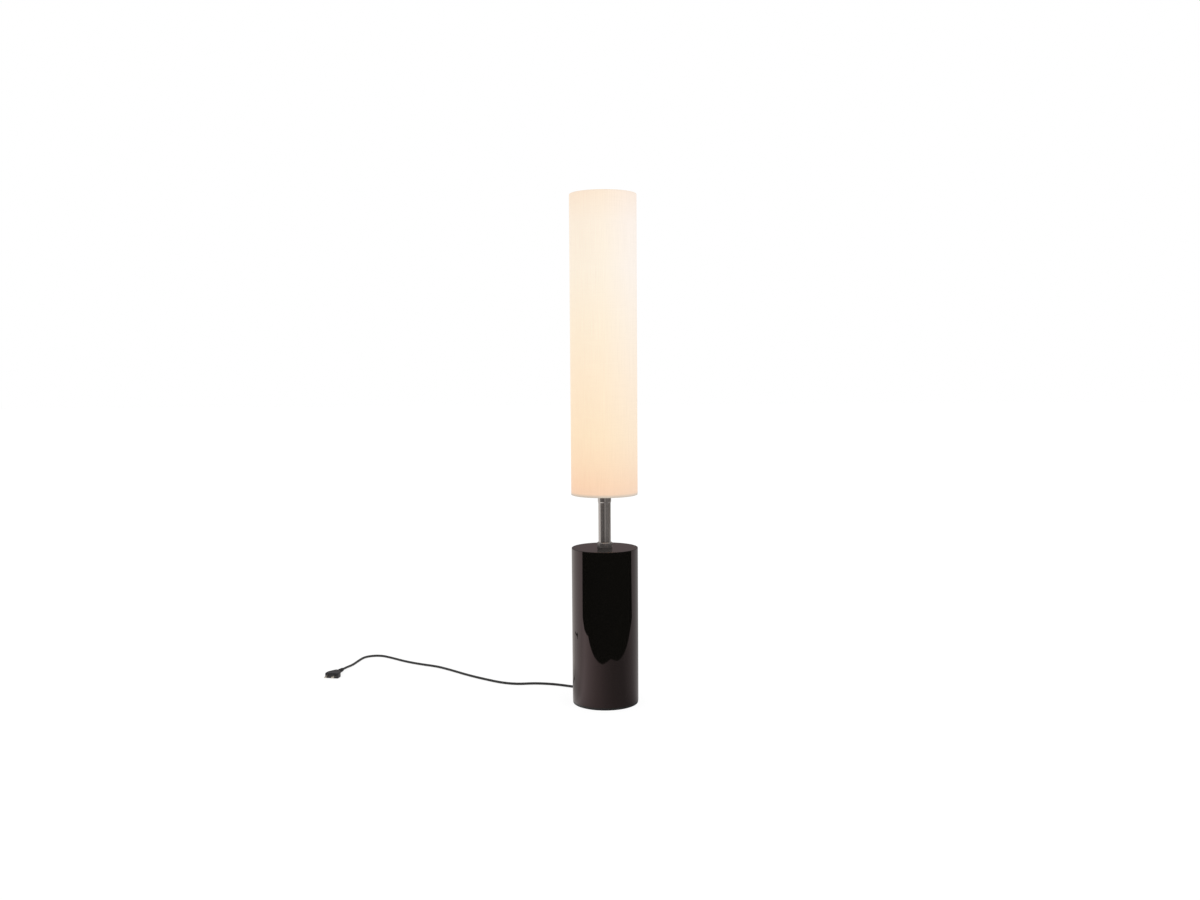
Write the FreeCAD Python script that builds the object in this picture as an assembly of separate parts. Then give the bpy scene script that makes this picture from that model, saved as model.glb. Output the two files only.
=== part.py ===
import FreeCAD, Part
import math
import os

# Column floor lamp: a tall fabric cylinder over a round lacquered base, joined by a short polished
# stem. Millimetres. +Z is up, the origin is the middle of the foot pad's underside on the floor,
# the front of the lamp faces -Y and its lead leaves the base at +Y.

V = FreeCAD.Vector
UP = V(0, 0, 1)

# ---- fits -------------------------------------------------------------------------------------
slip = 0.2              # round parts that push into each other, on the radius
run_fit = 0.05          # parts that turn in each other, on the radius
soft_gap = 0.3          # soft or moving parts beside their neighbours
past = 1.0              # how far a cut runs past the face it starts from
touch = 1e-6            # two heights closer than this are the same

# ---- base -------------------------------------------------------------------------------------
base_d = 150.0          # outside of the lacquered shell
base_shell_h = 350.0
base_wall = 1.5
base_top_thick = 2.0
base_edge_r = 1.2       # rounding of the shell's upper rim
pad_thick = 2.0         # non-slip disc under the base
pad_inset = 1.0         # how far the disc stays inside the shell
plate_flange_thick = 3.0
plate_inset = 0.5       # how far the plate's flange stays inside the shell
plate_spigot_h = 5.0
boss_d = 22.0           # threaded boss in the middle of the plate
boss_h = 18.0
rod_recess = 1.0        # the rod's foot above the plate's underside

# ---- counterweight and its screws -------------------------------------------------------------
weight_h = 45.0
weight_gap = 1.5        # to the shell
weight_bore_gap = 1.0   # round the boss
notch_w = 32.0          # notch at the back where the lead rises
notch_y = 36.0          # inner end of the notch
weight_screw_pcd = 80.0
weight_screw_d = 6.0
weight_screw_len = 22.0
weight_screw_head_d = 12.0
weight_screws = 3

# ---- wiring in the base -----------------------------------------------------------------------
cord_d = 6.0
gland_z = 20.0          # height of the lead where it leaves the base
gland_flange_d = 17.0
gland_flange_thick = 3.0
gland_neck_d = 10.0
gland_root_d = 13.0     # the sleeve where it leaves the flange
gland_sleeve_len = 26.0
gland_tip_d = 8.4
gland_nut_thick = 5.0
gland_nut_flat = 16.0
inner_bend_r = 22.0     # bend of the lead inside the base
bracket_w = 32.0
bracket_foot = 16.0
bracket_h = 56.0
bracket_thick = 2.0
bracket_screw_d = 4.0
bracket_screw_len = 10.0
bracket_screw_head_h = 2.5
small_head = 1.8        # a small screw's head over its thread's diameter
bracket_screw_x = 10.0
clamp_w = 28.0
clamp_h = 10.0
clamp_back = 3.0        # material behind the lead
clamp_lift = 15.0       # above the counterweight
clamp_screw_d = 3.0
clamp_screw_head_h = 2.0
clamp_screw_past = 2.0  # thread beyond the bracket
block_w = 24.0
block_depth = 14.0
block_h = 20.0
block_lift = 34.0
terminal_screw_d = 3.0
terminal_screw_len = 3.5
terminal_screw_in = 3.0
lead_d = 4.0            # inner leads to the lampholders
lead_start_x = 5.0
lead_stem_x = 10.0      # beside the rod in the stem
lead_carrier_x = 14.0   # beside the carrier tube
lead_straight = 70.0    # above the terminal block before it leans to the stem
lead_lean_end = 170.0   # above the terminal block where it is in line with the stem
lead_out_start = 14.0   # above the stem's nut where it leans out to the carrier tube
lead_out_end = 44.0
lead_leave = 86.0       # below its bracket where it leaves the carrier tube
lead_line_up = 42.0     # below its bracket where it is in line with the lampholder
lead_end_short = 2.0    # it ends this far below the nipple's upper end

# ---- stem -------------------------------------------------------------------------------------
stem_d = 28.0
stem_wall = 1.5
stem_show = 120.0       # from the base's top to the shade's lower edge
collar_d = 34.0
collar_h = 12.0
collar_bevel = 1.5
collar_groove = 0.8
cap_d = 30.0            # turned cap between stem and light carrier
cap_below = 18.0        # how far it shows under the shade
cap_h = 25.0
cap_web = 15.0
cap_bevel = 1.0
rod_d = 8.0
rod_above_nut = 9.0
nut_flat = 13.0
nut_h = 6.5
washer_d = 14.6
washer_thick = 1.5

# ---- shade ------------------------------------------------------------------------------------
shade_d = 150.0
shade_h = 670.0
fabric_thick = 0.6
liner_thick = 0.6
liner_short = 1.0       # the liner ends this far inside the fabric's edges
ring_wire_d = 4.0
hub_drop = 24.0         # the top hub lies this far below the ring
hub_d = 24.0
hub_thick = 3.0
spokes = 3
spoke_wire_d = 3.0
spoke_in = 1.5          # how far a spoke starts inside the hub's edge
star_thick = 1.5
star_arm_w = 8.0
star_hub_d = 30.0
star_short = 2.0        # the arms end this far inside the rubber tips
tip_w = 11.0
tip_h = 10.0
tip_len = 9.0
tip_gap = 0.5           # rubber tips inside the shade's lower ring

# ---- light carrier, lampholders and bulbs -----------------------------------------------------
carrier_d = 12.0
stud_in = 20.0          # the top stud inside the carrier tube
seat_d = 22.0
seat_h = 6.0
seat_screw_d = 3.0
seat_screw_sunk = 0.5
finial_d = 17.0
finial_h = 14.0
finial_roof = 3.0
finial_bevel = 1.0      # at its foot
finial_dome_h = 4.0
finial_dome_drop = 1.4  # from its crown to the dome's middle
finial_dome_d = 13.6    # across the dome's middle
finial_crown_d = 6.0    # flat on top
bulb_offset = 38.0      # bulb axis from the lamp's axis
lower_bracket_z = 640.0
upper_bracket_z = 888.0
arm_thick = 2.0
arm_w = 18.0
arm_past = 11.0         # arm beyond the lampholder's axis
arm_hub_d = 20.0
arm_hub_h = 12.0
arm_screw_h = 7.2       # above the arm's underside
nipple_d = 10.0
nipple_bore_d = 7.0
nipple_out = 8.0        # each way out of the arm
nipple_nut_flat = 14.0
nipple_nut_h = 4.0
holder_foot_d = 30.0
holder_d = 39.0
holder_cone_h = 10.0
holder_h = 46.0
holder_floor = 16.0
holder_rim_r = 1.5
contact_d = 8.0
contact_h = 2.0
bulb_cap_d = 26.2
bulb_cap_h = 26.0
bulb_cap_lip = 4.0
bulb_neck_d = 24.6
bulb_neck_in = 6.0
bulb_neck_show = 2.0    # straight neck above the cap
bulb_shoulder_lean = 24.0  # degrees below the head's middle where the shoulder meets it
bulb_shoulder_hollow = 1.2
bulb_d = 60.0
bulb_len = 105.0
bulb_glass = 1.0
tie_w = 4.0
tie_thick = 1.4
tie_below_top = 60.0

# ---- foot switch on the lead ------------------------------------------------------------------
switch_x = 30.0
switch_y = 216.0        # end of its housing nearest the lamp
switch_len = 90.0
switch_w = 36.0
switch_corner_r = 10.0
switch_tray_h = 13.0
switch_cover_h = 13.0
switch_wall = 2.0
switch_roof = 2.5
switch_cord_z = 8.0
switch_collar_d = 11.0
switch_collar_len = 8.0
switch_column_d = 8.4
switch_screw_x = 11.5
switch_screw_y = 35.0
switch_screw_d = 3.0
switch_screw_head_d = 5.5
switch_screw_head_h = 2.5
switch_screw_sink = 1.0
switch_screw_short = 3.0  # the screws end this far below the cover's roof
switch_top_r = 3.0
switch_bare_half = 6.0  # half the width where the lead's cores lie bare in the housing
button_d = 22.0
button_proud = 3.0
button_flange = 2.0     # wider than the button, on the radius
button_flange_thick = 2.0
button_travel = 3.0
button_depth = 8.0      # below the cover's top
button_top_r = 2.0
spring_d = 10.0
spring_wire_d = 1.0
spring_turns = 5
spring_post_h = 6.0
spring_post_gap = 0.5
contact_strip_w = 4.0
contact_strip_len = 30.0
contact_strip_thick = 1.0
contact_strip_x = 10.0
contact_rib_h = 3.0

# ---- coil of spare lead behind the base ---------------------------------------------------------
coil_x = -8.0
coil_y = 395.0
coil_inner_r = 28.0
coil_pitch = 6.6        # between turns, and between the two layers
coil_turns = 2          # in each layer
coil_end = 6.0          # straight at both ends

# ---- plug -------------------------------------------------------------------------------------
plug_len = 36.0
plug_w = 35.3
plug_neck_w = 14.0
plug_taper = 22.0
plug_thick = 13.7
plug_round = 3.0
plug_relief_len = 26.0
plug_relief_d = 11.0
plug_relief_tip_d = 8.0
pin_d = 4.0
pin_len = 19.0
pin_in = 9.0
pin_spacing = 18.6
pin_tip_r = 1.2

# ---- what follows from them -------------------------------------------------------------------
base_r = base_d / 2
shell_inner_r = base_r - base_wall
shell_z = pad_thick + plate_flange_thick
base_top_z = shell_z + base_shell_h
weight_z = shell_z + plate_spigot_h
weight_top_z = weight_z + weight_h
boss_top_z = weight_z + boss_h
cord_r = cord_d / 2
lead_y = notch_y + cord_r + soft_gap            # where the lead rises in the base
gland_tip_y = base_r + gland_flange_thick + gland_sleeve_len
clamp_z = weight_top_z + clamp_lift
block_z = weight_top_z + block_lift
block_top_z = block_z + block_h
shade_z = base_top_z + stem_show
shade_top_z = shade_z + shade_h
cap_z = shade_z - cap_below
cap_top_z = cap_z + cap_h
stem_top_z = cap_top_z - cap_web
star_z = cap_top_z
washer_z = star_z + star_thick
nut_z = washer_z + washer_thick
carrier_z = nut_z + nut_h
liner_r = shade_d / 2 - fabric_thick            # outside of the liner
ring_r = liner_r - liner_thick - ring_wire_d / 2
ring_inner_r = ring_r - ring_wire_d / 2
lower_ring_z = shade_z + fabric_thick + ring_wire_d / 2
upper_ring_z = shade_top_z - fabric_thick - ring_wire_d / 2
hub_z = upper_ring_z - hub_drop
carrier_top_z = hub_z
stud_top_z = hub_z + hub_thick + finial_h - finial_roof


# ---- helpers ----------------------------------------------------------------------------------
def box(x0, x1, y0, y1, z0, z1):
    return Part.makeBox(x1 - x0, y1 - y0, z1 - z0, V(x0, y0, z0))


def rod(r, z0, z1, x=0.0, y=0.0):
    return Part.makeCylinder(r, z1 - z0, V(x, y, z0))


def tube(outer_r, inner_r, z0, z1, x=0.0, y=0.0):
    return rod(outer_r, z0, z1, x, y).cut(rod(inner_r, z0, z1, x, y))


def rod_from(start, direction, r, length):
    return Part.makeCylinder(r, length, start, direction)


def hexagon(flat, z0, z1, x=0.0, y=0.0):
    corner = flat / math.sqrt(3)
    turns = [math.radians(60 * i) for i in range(6)]
    points = [V(x + corner * math.cos(a), y + corner * math.sin(a), z0) for a in turns]
    face = Part.Face(Part.makePolygon(points + points[:1]))
    return face.extrude(V(0, 0, z1 - z0))


def revolved(edges, x=0.0, y=0.0):
    """A solid of revolution about a vertical axis from edges in the XZ plane."""
    solid = Part.Face(Part.Wire(edges)).revolve(V(0, 0, 0), UP, 360)
    solid.translate(V(x, y, 0))
    return solid


def lines(points):
    """Edges through (radius, height) pairs."""
    corners = [V(r, 0, z) for r, z in points]
    return [Part.LineSegment(a, b).toShape() for a, b in zip(corners, corners[1:])]


def torus(r, wire_r, z):
    return Part.makeTorus(r, wire_r, V(0, 0, z))


def union(shapes):
    return shapes[0].multiFuse(shapes[1:]).removeSplitter()


def turned(shape, degrees, times):
    """Copies of a shape spaced evenly round the lamp's axis, the first one turned by degrees."""
    copies = []
    for i in range(times):
        copy = shape.copy()
        copy.rotate(V(0, 0, 0), UP, degrees + 360.0 * i / times)
        copies.append(copy)
    return copies


def rounded_prism(width, length, corner_r, x, y0, z0, z1):
    """A block with round upright corners, its length along Y from y0."""
    block = box(x - width / 2, x + width / 2, y0, y0 + length, z0, z1)
    upright = [e for e in block.Edges if abs(e.Vertexes[0].Z - e.Vertexes[1].Z) > touch]
    return block.makeFillet(corner_r, upright)


# ---- routes: straight runs joined by tangent arcs ------------------------------------------------
def arc_between(start, corner, end):
    """The arc that leaves start towards corner and reaches end, both equally far from the corner."""
    chord_middle = (start + end) * 0.5
    cos_half = (end - start).Length / (2 * (corner - start).Length)
    top = chord_middle + (corner - chord_middle) * (cos_half / (1 + cos_half))
    return Part.Arc(start, top, end).toShape()


def route_edges(points, label, bend_r=None):
    """Edges of a route. A corner's arc takes 0.45 of its shorter run, or the stated radius."""
    edges = []
    radii = []
    here = points[0]
    for before, corner, after in zip(points, points[1:], points[2:]):
        back = (before - corner).normalize()
        ahead = (after - corner).normalize()
        half_turn = (math.pi - back.getAngle(ahead)) / 2
        shorter = min((before - corner).Length, (after - corner).Length)
        cut = bend_r * math.tan(half_turn) if bend_r else 0.45 * shorter
        radii.append(cut / math.tan(half_turn))
        start = corner + back * cut
        end = corner + ahead * cut
        edges.append(Part.LineSegment(here, start).toShape())
        edges.append(arc_between(start, corner, end))
        here = end
    edges.append(Part.LineSegment(here, points[-1]).toShape())
    length = sum(e.Length for e in edges)
    print("%s: length %.0f mm, bend radii %s" % (label, length, " ".join("%.0f" % r for r in radii)))
    return edges


def swept(edges, wire_r, label):
    """A round tube of one radius along edges that join smoothly."""
    path = Part.Wire(edges)
    start = edges[0].valueAt(edges[0].FirstParameter)
    direction = edges[0].tangentAt(edges[0].FirstParameter)
    ring = Part.Wire([Part.Circle(start, direction, wire_r).toShape()])
    solid = path.makePipeShell([ring], True, False)
    expected = math.pi * wire_r ** 2 * path.Length
    print("%s: volume %.4f of section times length" % (label, solid.Volume / expected))
    return solid


def biarc(p0, t0, p1, t1):
    """Two arcs that leave p0 along t0 and reach p1 along t1."""
    step = p1 - p0
    both = t0 + t1
    bend = 2 * (1 - t0.dot(t1))
    reach = (-step.dot(both) + math.sqrt(step.dot(both) ** 2 + bend * step.dot(step))) / bend
    corner0 = p0 + t0 * reach
    corner1 = p1 - t1 * reach
    joint = (corner0 + corner1) * 0.5
    return [arc_between(p0, corner0, joint), arc_between(joint, corner1, p1)]


# ---- the lead's route, chosen by hand ---------------------------------------------------------
floor_z = cord_r                                 # the lead's middle where it lies on the floor
plug_cord_z = plug_thick / 2

LEAD_ROUTE = [
    V(0, gland_tip_y, gland_z),
    V(0, gland_tip_y + 21, gland_z - 2),
    V(4, gland_tip_y + 43, gland_z - 10),
    V(15, gland_tip_y + 67, floor_z),
    V(switch_x, switch_y - 21, switch_cord_z),
    V(switch_x, switch_y + switch_wall, switch_cord_z),
]
RUN_ROUTE = [
    V(-50.6, 368, 9),
    V(-51.5, 345, 5),
    V(-50.5, 318, floor_z),
    V(-49, 284, floor_z),
    V(-43, 248, floor_z),
    V(-31, 212, floor_z),
    V(-20, 180, floor_z),
    V(-16, 148, floor_z),
    V(-27, 115, floor_z),
    V(-60, 102, floor_z),
    V(-92, 119.5, floor_z),
    V(-128, 136, floor_z),
    V(-172, 143.5, floor_z),
    V(-212, 136.5, floor_z),
    V(-250, 149, floor_z),
    V(-292, 180, floor_z),
    V(-340, 220, floor_z),
    V(-386, 267, floor_z),
    V(-428, 306, floor_z),
    V(-478, 331, floor_z),
    V(-522, 361, floor_z),
    V(-560, 396, floor_z),
    V(-597, 425, floor_z),
    V(-634, 412, floor_z),
    V(-643, 368, floor_z),
    V(-649, 326, floor_z),
    V(-657, 290, plug_cord_z - 0.6),
    V(-662, 268, plug_cord_z),
]
last_run = RUN_ROUTE[-1] - RUN_ROUTE[-2]
plug_direction = V(last_run.x, last_run.y, 0).normalize()


# ---- the coil ---------------------------------------------------------------------------------
def coil_state(angle):
    """Point and direction of the coil's middle line: in along the floor, up half a turn, out above."""
    rate = coil_pitch / (2 * math.pi)
    layer = 2 * math.pi * coil_turns
    outer_r = coil_inner_r + coil_pitch * coil_turns
    if angle <= layer:
        r, dr, z, dz = outer_r - rate * angle, -rate, 0.0, 0.0
    elif angle <= layer + math.pi:
        u = angle - layer
        r = coil_inner_r - rate * (u - u * u / math.pi)
        dr = -rate * (1 - 2 * u / math.pi)
        z = coil_pitch * (1 - math.cos(u)) / 2
        dz = coil_pitch * math.sin(u) / 2
    else:
        r, dr, z, dz = coil_inner_r + rate * (angle - layer - math.pi), rate, coil_pitch, 0.0
    c, s = math.cos(angle), math.sin(angle)
    point = V(coil_x + r * c, coil_y + r * s, floor_z + z)
    return point, V(dr * c - r * s, dr * s + r * c, dz).normalize()


def coil_edges():
    quarters = 8 * coil_turns + 2
    states = [coil_state(i * math.pi / 2) for i in range(quarters + 1)]
    first, first_way = states[0]
    last, last_way = states[-1]
    edges = [Part.LineSegment(first - first_way * coil_end, first).toShape()]
    for (p0, t0), (p1, t1) in zip(states, states[1:]):
        edges += biarc(p0, t0, p1, t1)
    edges.append(Part.LineSegment(last, last + last_way * coil_end).toShape())
    return edges


def least_gap(edges, wire_d, label):
    """Smallest clear space between turns, on points along the middle line."""
    points = []
    run = 0.0
    for e in edges:
        count = max(2, int(e.Length / 2))
        for i in range(count):
            along = e.Length * i / count
            points.append((run + along, e.valueAt(e.getParameterByLength(along))))
        run += e.Length
    apart = []
    for i, (s, a) in enumerate(points):
        apart += [(a - b).Length for t, b in points[i + 1:] if t - s > 4 * wire_d]
    print("%s: length %.0f mm, least gap %.2f mm" % (label, run, min(apart) - wire_d))


COIL_EDGES = coil_edges()
coil_entry = COIL_EDGES[0].valueAt(COIL_EDGES[0].FirstParameter)
coil_exit = COIL_EDGES[-1].valueAt(COIL_EDGES[-1].LastParameter)
LINK_ROUTE = [
    V(switch_x, switch_y + switch_len - switch_wall, switch_cord_z),
    V(switch_x, switch_y + switch_len + 20, switch_cord_z),
    V(switch_x + 1.5, switch_y + switch_len + 43, floor_z + 1),
    V(coil_entry.x + 0.5, coil_entry.y - 20, floor_z),
    coil_entry,
]


# ---- base -------------------------------------------------------------------------------------
def foot_pad():
    return rod(base_r - pad_inset, 0, pad_thick)


def base_plate():
    flange = rod(base_r - plate_inset, pad_thick, shell_z)
    spigot = rod(shell_inner_r - slip, shell_z, weight_z)
    boss = rod(boss_d / 2, weight_z, boss_top_z)
    plate = union([flange, spigot, boss])
    plate = plate.cut(rod(rod_d / 2, pad_thick, boss_top_z))
    return plate.cut(Part.Compound(weight_screw_set()))


def weight_screw_set():
    return turned(weight_screw(weight_screw_pcd / 2), -90, weight_screws)


def weight_screw(x):
    head = Part.makeCone(weight_screw_head_d / 2, weight_screw_d / 2, plate_flange_thick, V(x, 0, pad_thick))
    shank = rod(weight_screw_d / 2, shell_z, shell_z + weight_screw_len, x)
    return head.fuse(shank).removeSplitter()


def counterweight():
    body = rod(shell_inner_r - weight_gap, weight_z, weight_top_z)
    body = body.cut(rod(boss_d / 2 + weight_bore_gap, weight_z, weight_top_z))
    body = body.cut(box(-notch_w / 2, notch_w / 2, notch_y, base_r, weight_z, weight_top_z))
    for x in (-bracket_screw_x, bracket_screw_x):
        body = body.cut(bracket_screw(x))
    return body.cut(Part.Compound(weight_screw_set()))


def base_shell():
    outside = rod(base_r, shell_z, base_top_z)
    rim = [e for e in outside.Edges if e.BoundBox.ZMin > base_top_z - touch]
    outside = outside.makeFillet(base_edge_r, rim)
    shell = outside.cut(rod(shell_inner_r, shell_z, base_top_z - base_top_thick))
    shell = shell.cut(rod(stem_d / 2 - stem_wall - slip, base_top_z - base_top_thick, base_top_z))
    return shell.cut(rod_from(V(0, 0, gland_z), V(0, 1, 0), gland_neck_d / 2 + slip, base_d))


# ---- wiring in the base -----------------------------------------------------------------------
def cord_gland():
    flange = rod_from(V(0, 0, gland_z), V(0, 1, 0), gland_flange_d / 2, base_r + gland_flange_thick)
    flange = flange.cut(rod(base_r, 0, base_top_z))
    neck = rod_from(V(0, shell_inner_r - gland_nut_thick, gland_z), V(0, 1, 0), gland_neck_d / 2,
                    base_r + gland_flange_thick - shell_inner_r + gland_nut_thick)
    sleeve = Part.makeCone(gland_root_d / 2, gland_tip_d / 2, gland_sleeve_len,
                           V(0, base_r + gland_flange_thick, gland_z), V(0, 1, 0))
    gland = union([flange, neck, sleeve])
    return gland.cut(rod_from(V(0, 0, gland_z), V(0, 1, 0), cord_r + run_fit, gland_tip_y + past))


def gland_nut():
    nut = hexagon(gland_nut_flat, 0, gland_nut_thick + base_wall)
    nut = nut.cut(rod(gland_neck_d / 2, 0, gland_nut_thick + base_wall))
    nut.rotate(V(0, 0, 0), V(1, 0, 0), -90)
    nut.translate(V(0, shell_inner_r - gland_nut_thick, gland_z))
    return nut.common(rod(shell_inner_r, 0, base_top_z))


def inner_cord():
    points = [V(0, gland_tip_y, gland_z), V(0, lead_y, gland_z), V(0, lead_y, block_z)]
    return swept(route_edges(points, "inner_cord", inner_bend_r), cord_r, "inner_cord")


def terminal_bracket():
    x = bracket_w / 2
    foot = box(-x, x, notch_y - bracket_foot, notch_y, weight_top_z, weight_top_z + bracket_thick)
    upright = box(-x, x, notch_y - bracket_thick, notch_y, weight_top_z, weight_top_z + bracket_h)
    bracket = foot.fuse(upright).removeSplitter()
    for sx in (-bracket_screw_x, bracket_screw_x):
        bracket = bracket.cut(bracket_screw(sx)).cut(clamp_screw(sx))
    return bracket


def bracket_screw(x):
    y = notch_y - bracket_thick - (bracket_foot - bracket_thick) / 2
    z = weight_top_z + bracket_thick
    shank = rod(bracket_screw_d / 2, z - bracket_screw_len, z, x, y)
    head = rod(small_head * bracket_screw_d / 2, z, z + bracket_screw_head_h, x, y)
    return shank.fuse(head).removeSplitter()


def cord_clamp():
    depth = soft_gap + cord_d + clamp_back
    bar = box(-clamp_w / 2, clamp_w / 2, notch_y, notch_y + depth, clamp_z, clamp_z + clamp_h)
    groove = rod(cord_r + run_fit, clamp_z, clamp_z + clamp_h, 0, lead_y)
    mouth = box(-cord_r - run_fit, cord_r + run_fit, notch_y, lead_y, clamp_z, clamp_z + clamp_h)
    bar = bar.cut(groove).cut(mouth)
    for x in (-bracket_screw_x, bracket_screw_x):
        bar = bar.cut(clamp_screw(x))
    return bar


def clamp_screw(x):
    depth = soft_gap + cord_d + clamp_back
    z = clamp_z + clamp_h / 2
    behind = bracket_thick + clamp_screw_past
    shank = rod_from(V(x, notch_y - behind, z), V(0, 1, 0), clamp_screw_d / 2, depth + behind)
    head = rod_from(V(x, notch_y + depth, z), V(0, 1, 0), small_head * clamp_screw_d / 2,
                    clamp_screw_head_h)
    return shank.fuse(head).removeSplitter()


def terminal_block():
    block = box(-block_w / 2, block_w / 2, notch_y, notch_y + block_depth, block_z, block_top_z)
    for screw in terminal_screws():
        block = block.cut(screw)
    return block


def terminal_screws():
    screws = []
    for x in (-block_w / 4, block_w / 4):
        for z in (block_z + block_h / 4, block_top_z - block_h / 4):
            start = V(x, notch_y + block_depth - terminal_screw_in, z)
            screws.append(rod_from(start, V(0, 1, 0), terminal_screw_d / 2, terminal_screw_len))
    return screws


def inner_lead(side, bracket_z, label):
    """A lead from the terminal block up the stem to one lampholder."""
    end_z = bracket_z + arm_thick + nipple_out - lead_end_short
    points = [
        V(side * lead_start_x, lead_y, block_top_z),
        V(side * lead_start_x, lead_y, block_top_z + lead_straight),
        V(side * lead_stem_x, 0, block_top_z + lead_lean_end),
        V(side * lead_stem_x, 0, carrier_z + lead_out_start),
        V(side * lead_carrier_x, 0, carrier_z + lead_out_end),
        V(side * lead_carrier_x, 0, bracket_z - lead_leave),
        V(side * bulb_offset, 0, bracket_z - lead_line_up),
        V(side * bulb_offset, 0, end_z),
    ]
    return swept(route_edges(points, label), lead_d / 2, label)


# ---- stem -------------------------------------------------------------------------------------
def stem_collar():
    body = rod(collar_d / 2, base_top_z, base_top_z + collar_h)
    top = [e for e in body.Edges if e.BoundBox.ZMin > base_top_z + collar_h - touch]
    body = body.makeChamfer(collar_bevel, top)
    groove_z = base_top_z + collar_h / 4
    groove = tube(collar_d, collar_d / 2 - collar_groove, groove_z, groove_z + collar_groove)
    return body.cut(groove).cut(rod(stem_d / 2 + run_fit, base_top_z, base_top_z + collar_h))


def stem_tube():
    return tube(stem_d / 2, stem_d / 2 - stem_wall, base_top_z, stem_top_z)


def lead_holes(z0, z1):
    return [rod(lead_d / 2 + slip, z0, z1, x) for x in (-lead_stem_x, lead_stem_x)]


def stem_cap():
    body = rod(cap_d / 2, cap_z, cap_top_z)
    lower = [e for e in body.Edges if e.BoundBox.ZMax < cap_z + touch]
    body = body.makeChamfer(cap_bevel, lower)
    body = body.cut(rod(stem_d / 2 + run_fit, cap_z, stem_top_z))
    body = body.cut(rod(rod_d / 2 + slip, stem_top_z, cap_top_z))
    return body.cut(Part.Compound(lead_holes(stem_top_z, cap_top_z)))


def tie_rod():
    return rod(rod_d / 2, pad_thick + rod_recess, carrier_z + rod_above_nut)


def rod_washer():
    return tube(washer_d / 2, rod_d / 2 + slip, washer_z, nut_z)


def rod_nut():
    return hexagon(nut_flat, nut_z, carrier_z).cut(rod(rod_d / 2, nut_z, carrier_z))


# ---- centring star inside the shade's lower edge ------------------------------------------------
star_reach = ring_inner_r - tip_gap


def star_arm():
    return box(0, star_reach - star_short, -star_arm_w / 2, star_arm_w / 2, star_z, star_z + star_thick)


def centring_star():
    star = union([rod(star_hub_d / 2, star_z, star_z + star_thick)] + turned(star_arm(), 90, spokes))
    star = star.cut(rod(rod_d / 2 + slip, star_z, star_z + star_thick))
    return star.cut(Part.Compound(lead_holes(star_z, star_z + star_thick)))


def star_tips():
    z0 = star_z + star_thick / 2 - tip_h / 2
    tip = box(star_reach - tip_len, star_reach + past, -tip_w / 2, tip_w / 2, z0, z0 + tip_h)
    tip = tip.common(rod(star_reach, z0, z0 + tip_h)).cut(star_arm())
    return turned(tip, 90, spokes)


# ---- light carrier ----------------------------------------------------------------------------
def carrier_tube():
    return tube(carrier_d / 2, rod_d / 2, carrier_z, carrier_top_z)


def top_stud():
    return rod(rod_d / 2, carrier_top_z - stud_in, stud_top_z)


def shade_seat():
    ring = tube(seat_d / 2, carrier_d / 2, carrier_top_z - seat_h, carrier_top_z)
    return ring.cut(seat_screw())


def seat_screw():
    outer = seat_d / 2 - seat_screw_sunk
    start = V(0, -outer, carrier_top_z - seat_h / 2)
    return rod_from(start, V(0, 1, 0), seat_screw_d / 2, outer - carrier_d / 2)


def holder_arm(side, z):
    """A strip from a clamp ring on the carrier tube to the lampholder's axis."""
    tip = bulb_offset + arm_past - arm_w / 2
    strip = box(0, tip, -arm_w / 2, arm_w / 2, z, z + arm_thick).fuse(rod(arm_w / 2, z, z + arm_thick, tip))
    arm = strip.fuse(rod(arm_hub_d / 2, z, z + arm_hub_h)).removeSplitter()
    arm = arm.cut(rod(carrier_d / 2 + run_fit, z, z + arm_hub_h))
    arm = arm.cut(rod(nipple_d / 2 + run_fit, z, z + arm_thick, bulb_offset))
    arm = arm.cut(arm_screw(1, z))
    if side < 0:
        arm.rotate(V(0, 0, 0), UP, 180)
    return arm


def arm_screw(side, z):
    start = V(0, -side * arm_hub_d / 2, z + arm_screw_h)
    return rod_from(start, V(0, side, 0), seat_screw_d / 2, arm_hub_d / 2 - carrier_d / 2)


def holder_nipple(side, z):
    top = z + arm_thick + nipple_out
    return tube(nipple_d / 2, nipple_bore_d / 2, z - nipple_out, top, side * bulb_offset)


def nipple_nut(side, z):
    x = side * bulb_offset
    return hexagon(nipple_nut_flat, z - nipple_nut_h, z, x).cut(rod(nipple_d / 2, z - nipple_nut_h, z, x))


def lampholder(side, z):
    x = side * bulb_offset
    foot = z + arm_thick
    top = foot + holder_h
    body = revolved(lines([(0, foot), (holder_foot_d / 2, foot), (holder_d / 2, foot + holder_cone_h),
                           (holder_d / 2, top), (0, top), (0, foot)]), x)
    rim = [e for e in body.Edges if e.BoundBox.ZMin > top - touch and e.BoundBox.XLength > holder_d / 2]
    body = body.makeFillet(holder_rim_r, rim)
    body = body.cut(rod(nipple_d / 2 + run_fit, foot, foot + nipple_out + past, x))
    return body.cut(rod(bulb_cap_d / 2 + run_fit, foot + holder_floor, top, x))


def holder_contact(side, z):
    foot = z + arm_thick + holder_floor
    return rod(contact_d / 2, foot, foot + contact_h, side * bulb_offset)


def bulb_base_z(z):
    return z + arm_thick + holder_floor + contact_h


def bulb_cap(side, z):
    foot = bulb_base_z(z)
    top = foot + bulb_cap_h
    cap = revolved(lines([(0, foot), (contact_d / 2, foot), (bulb_cap_d / 2, foot + bulb_cap_lip),
                          (bulb_cap_d / 2, top), (0, top), (0, foot)]), side * bulb_offset)
    return cap.cut(rod(bulb_neck_d / 2, top - bulb_neck_in, top, side * bulb_offset))


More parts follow.
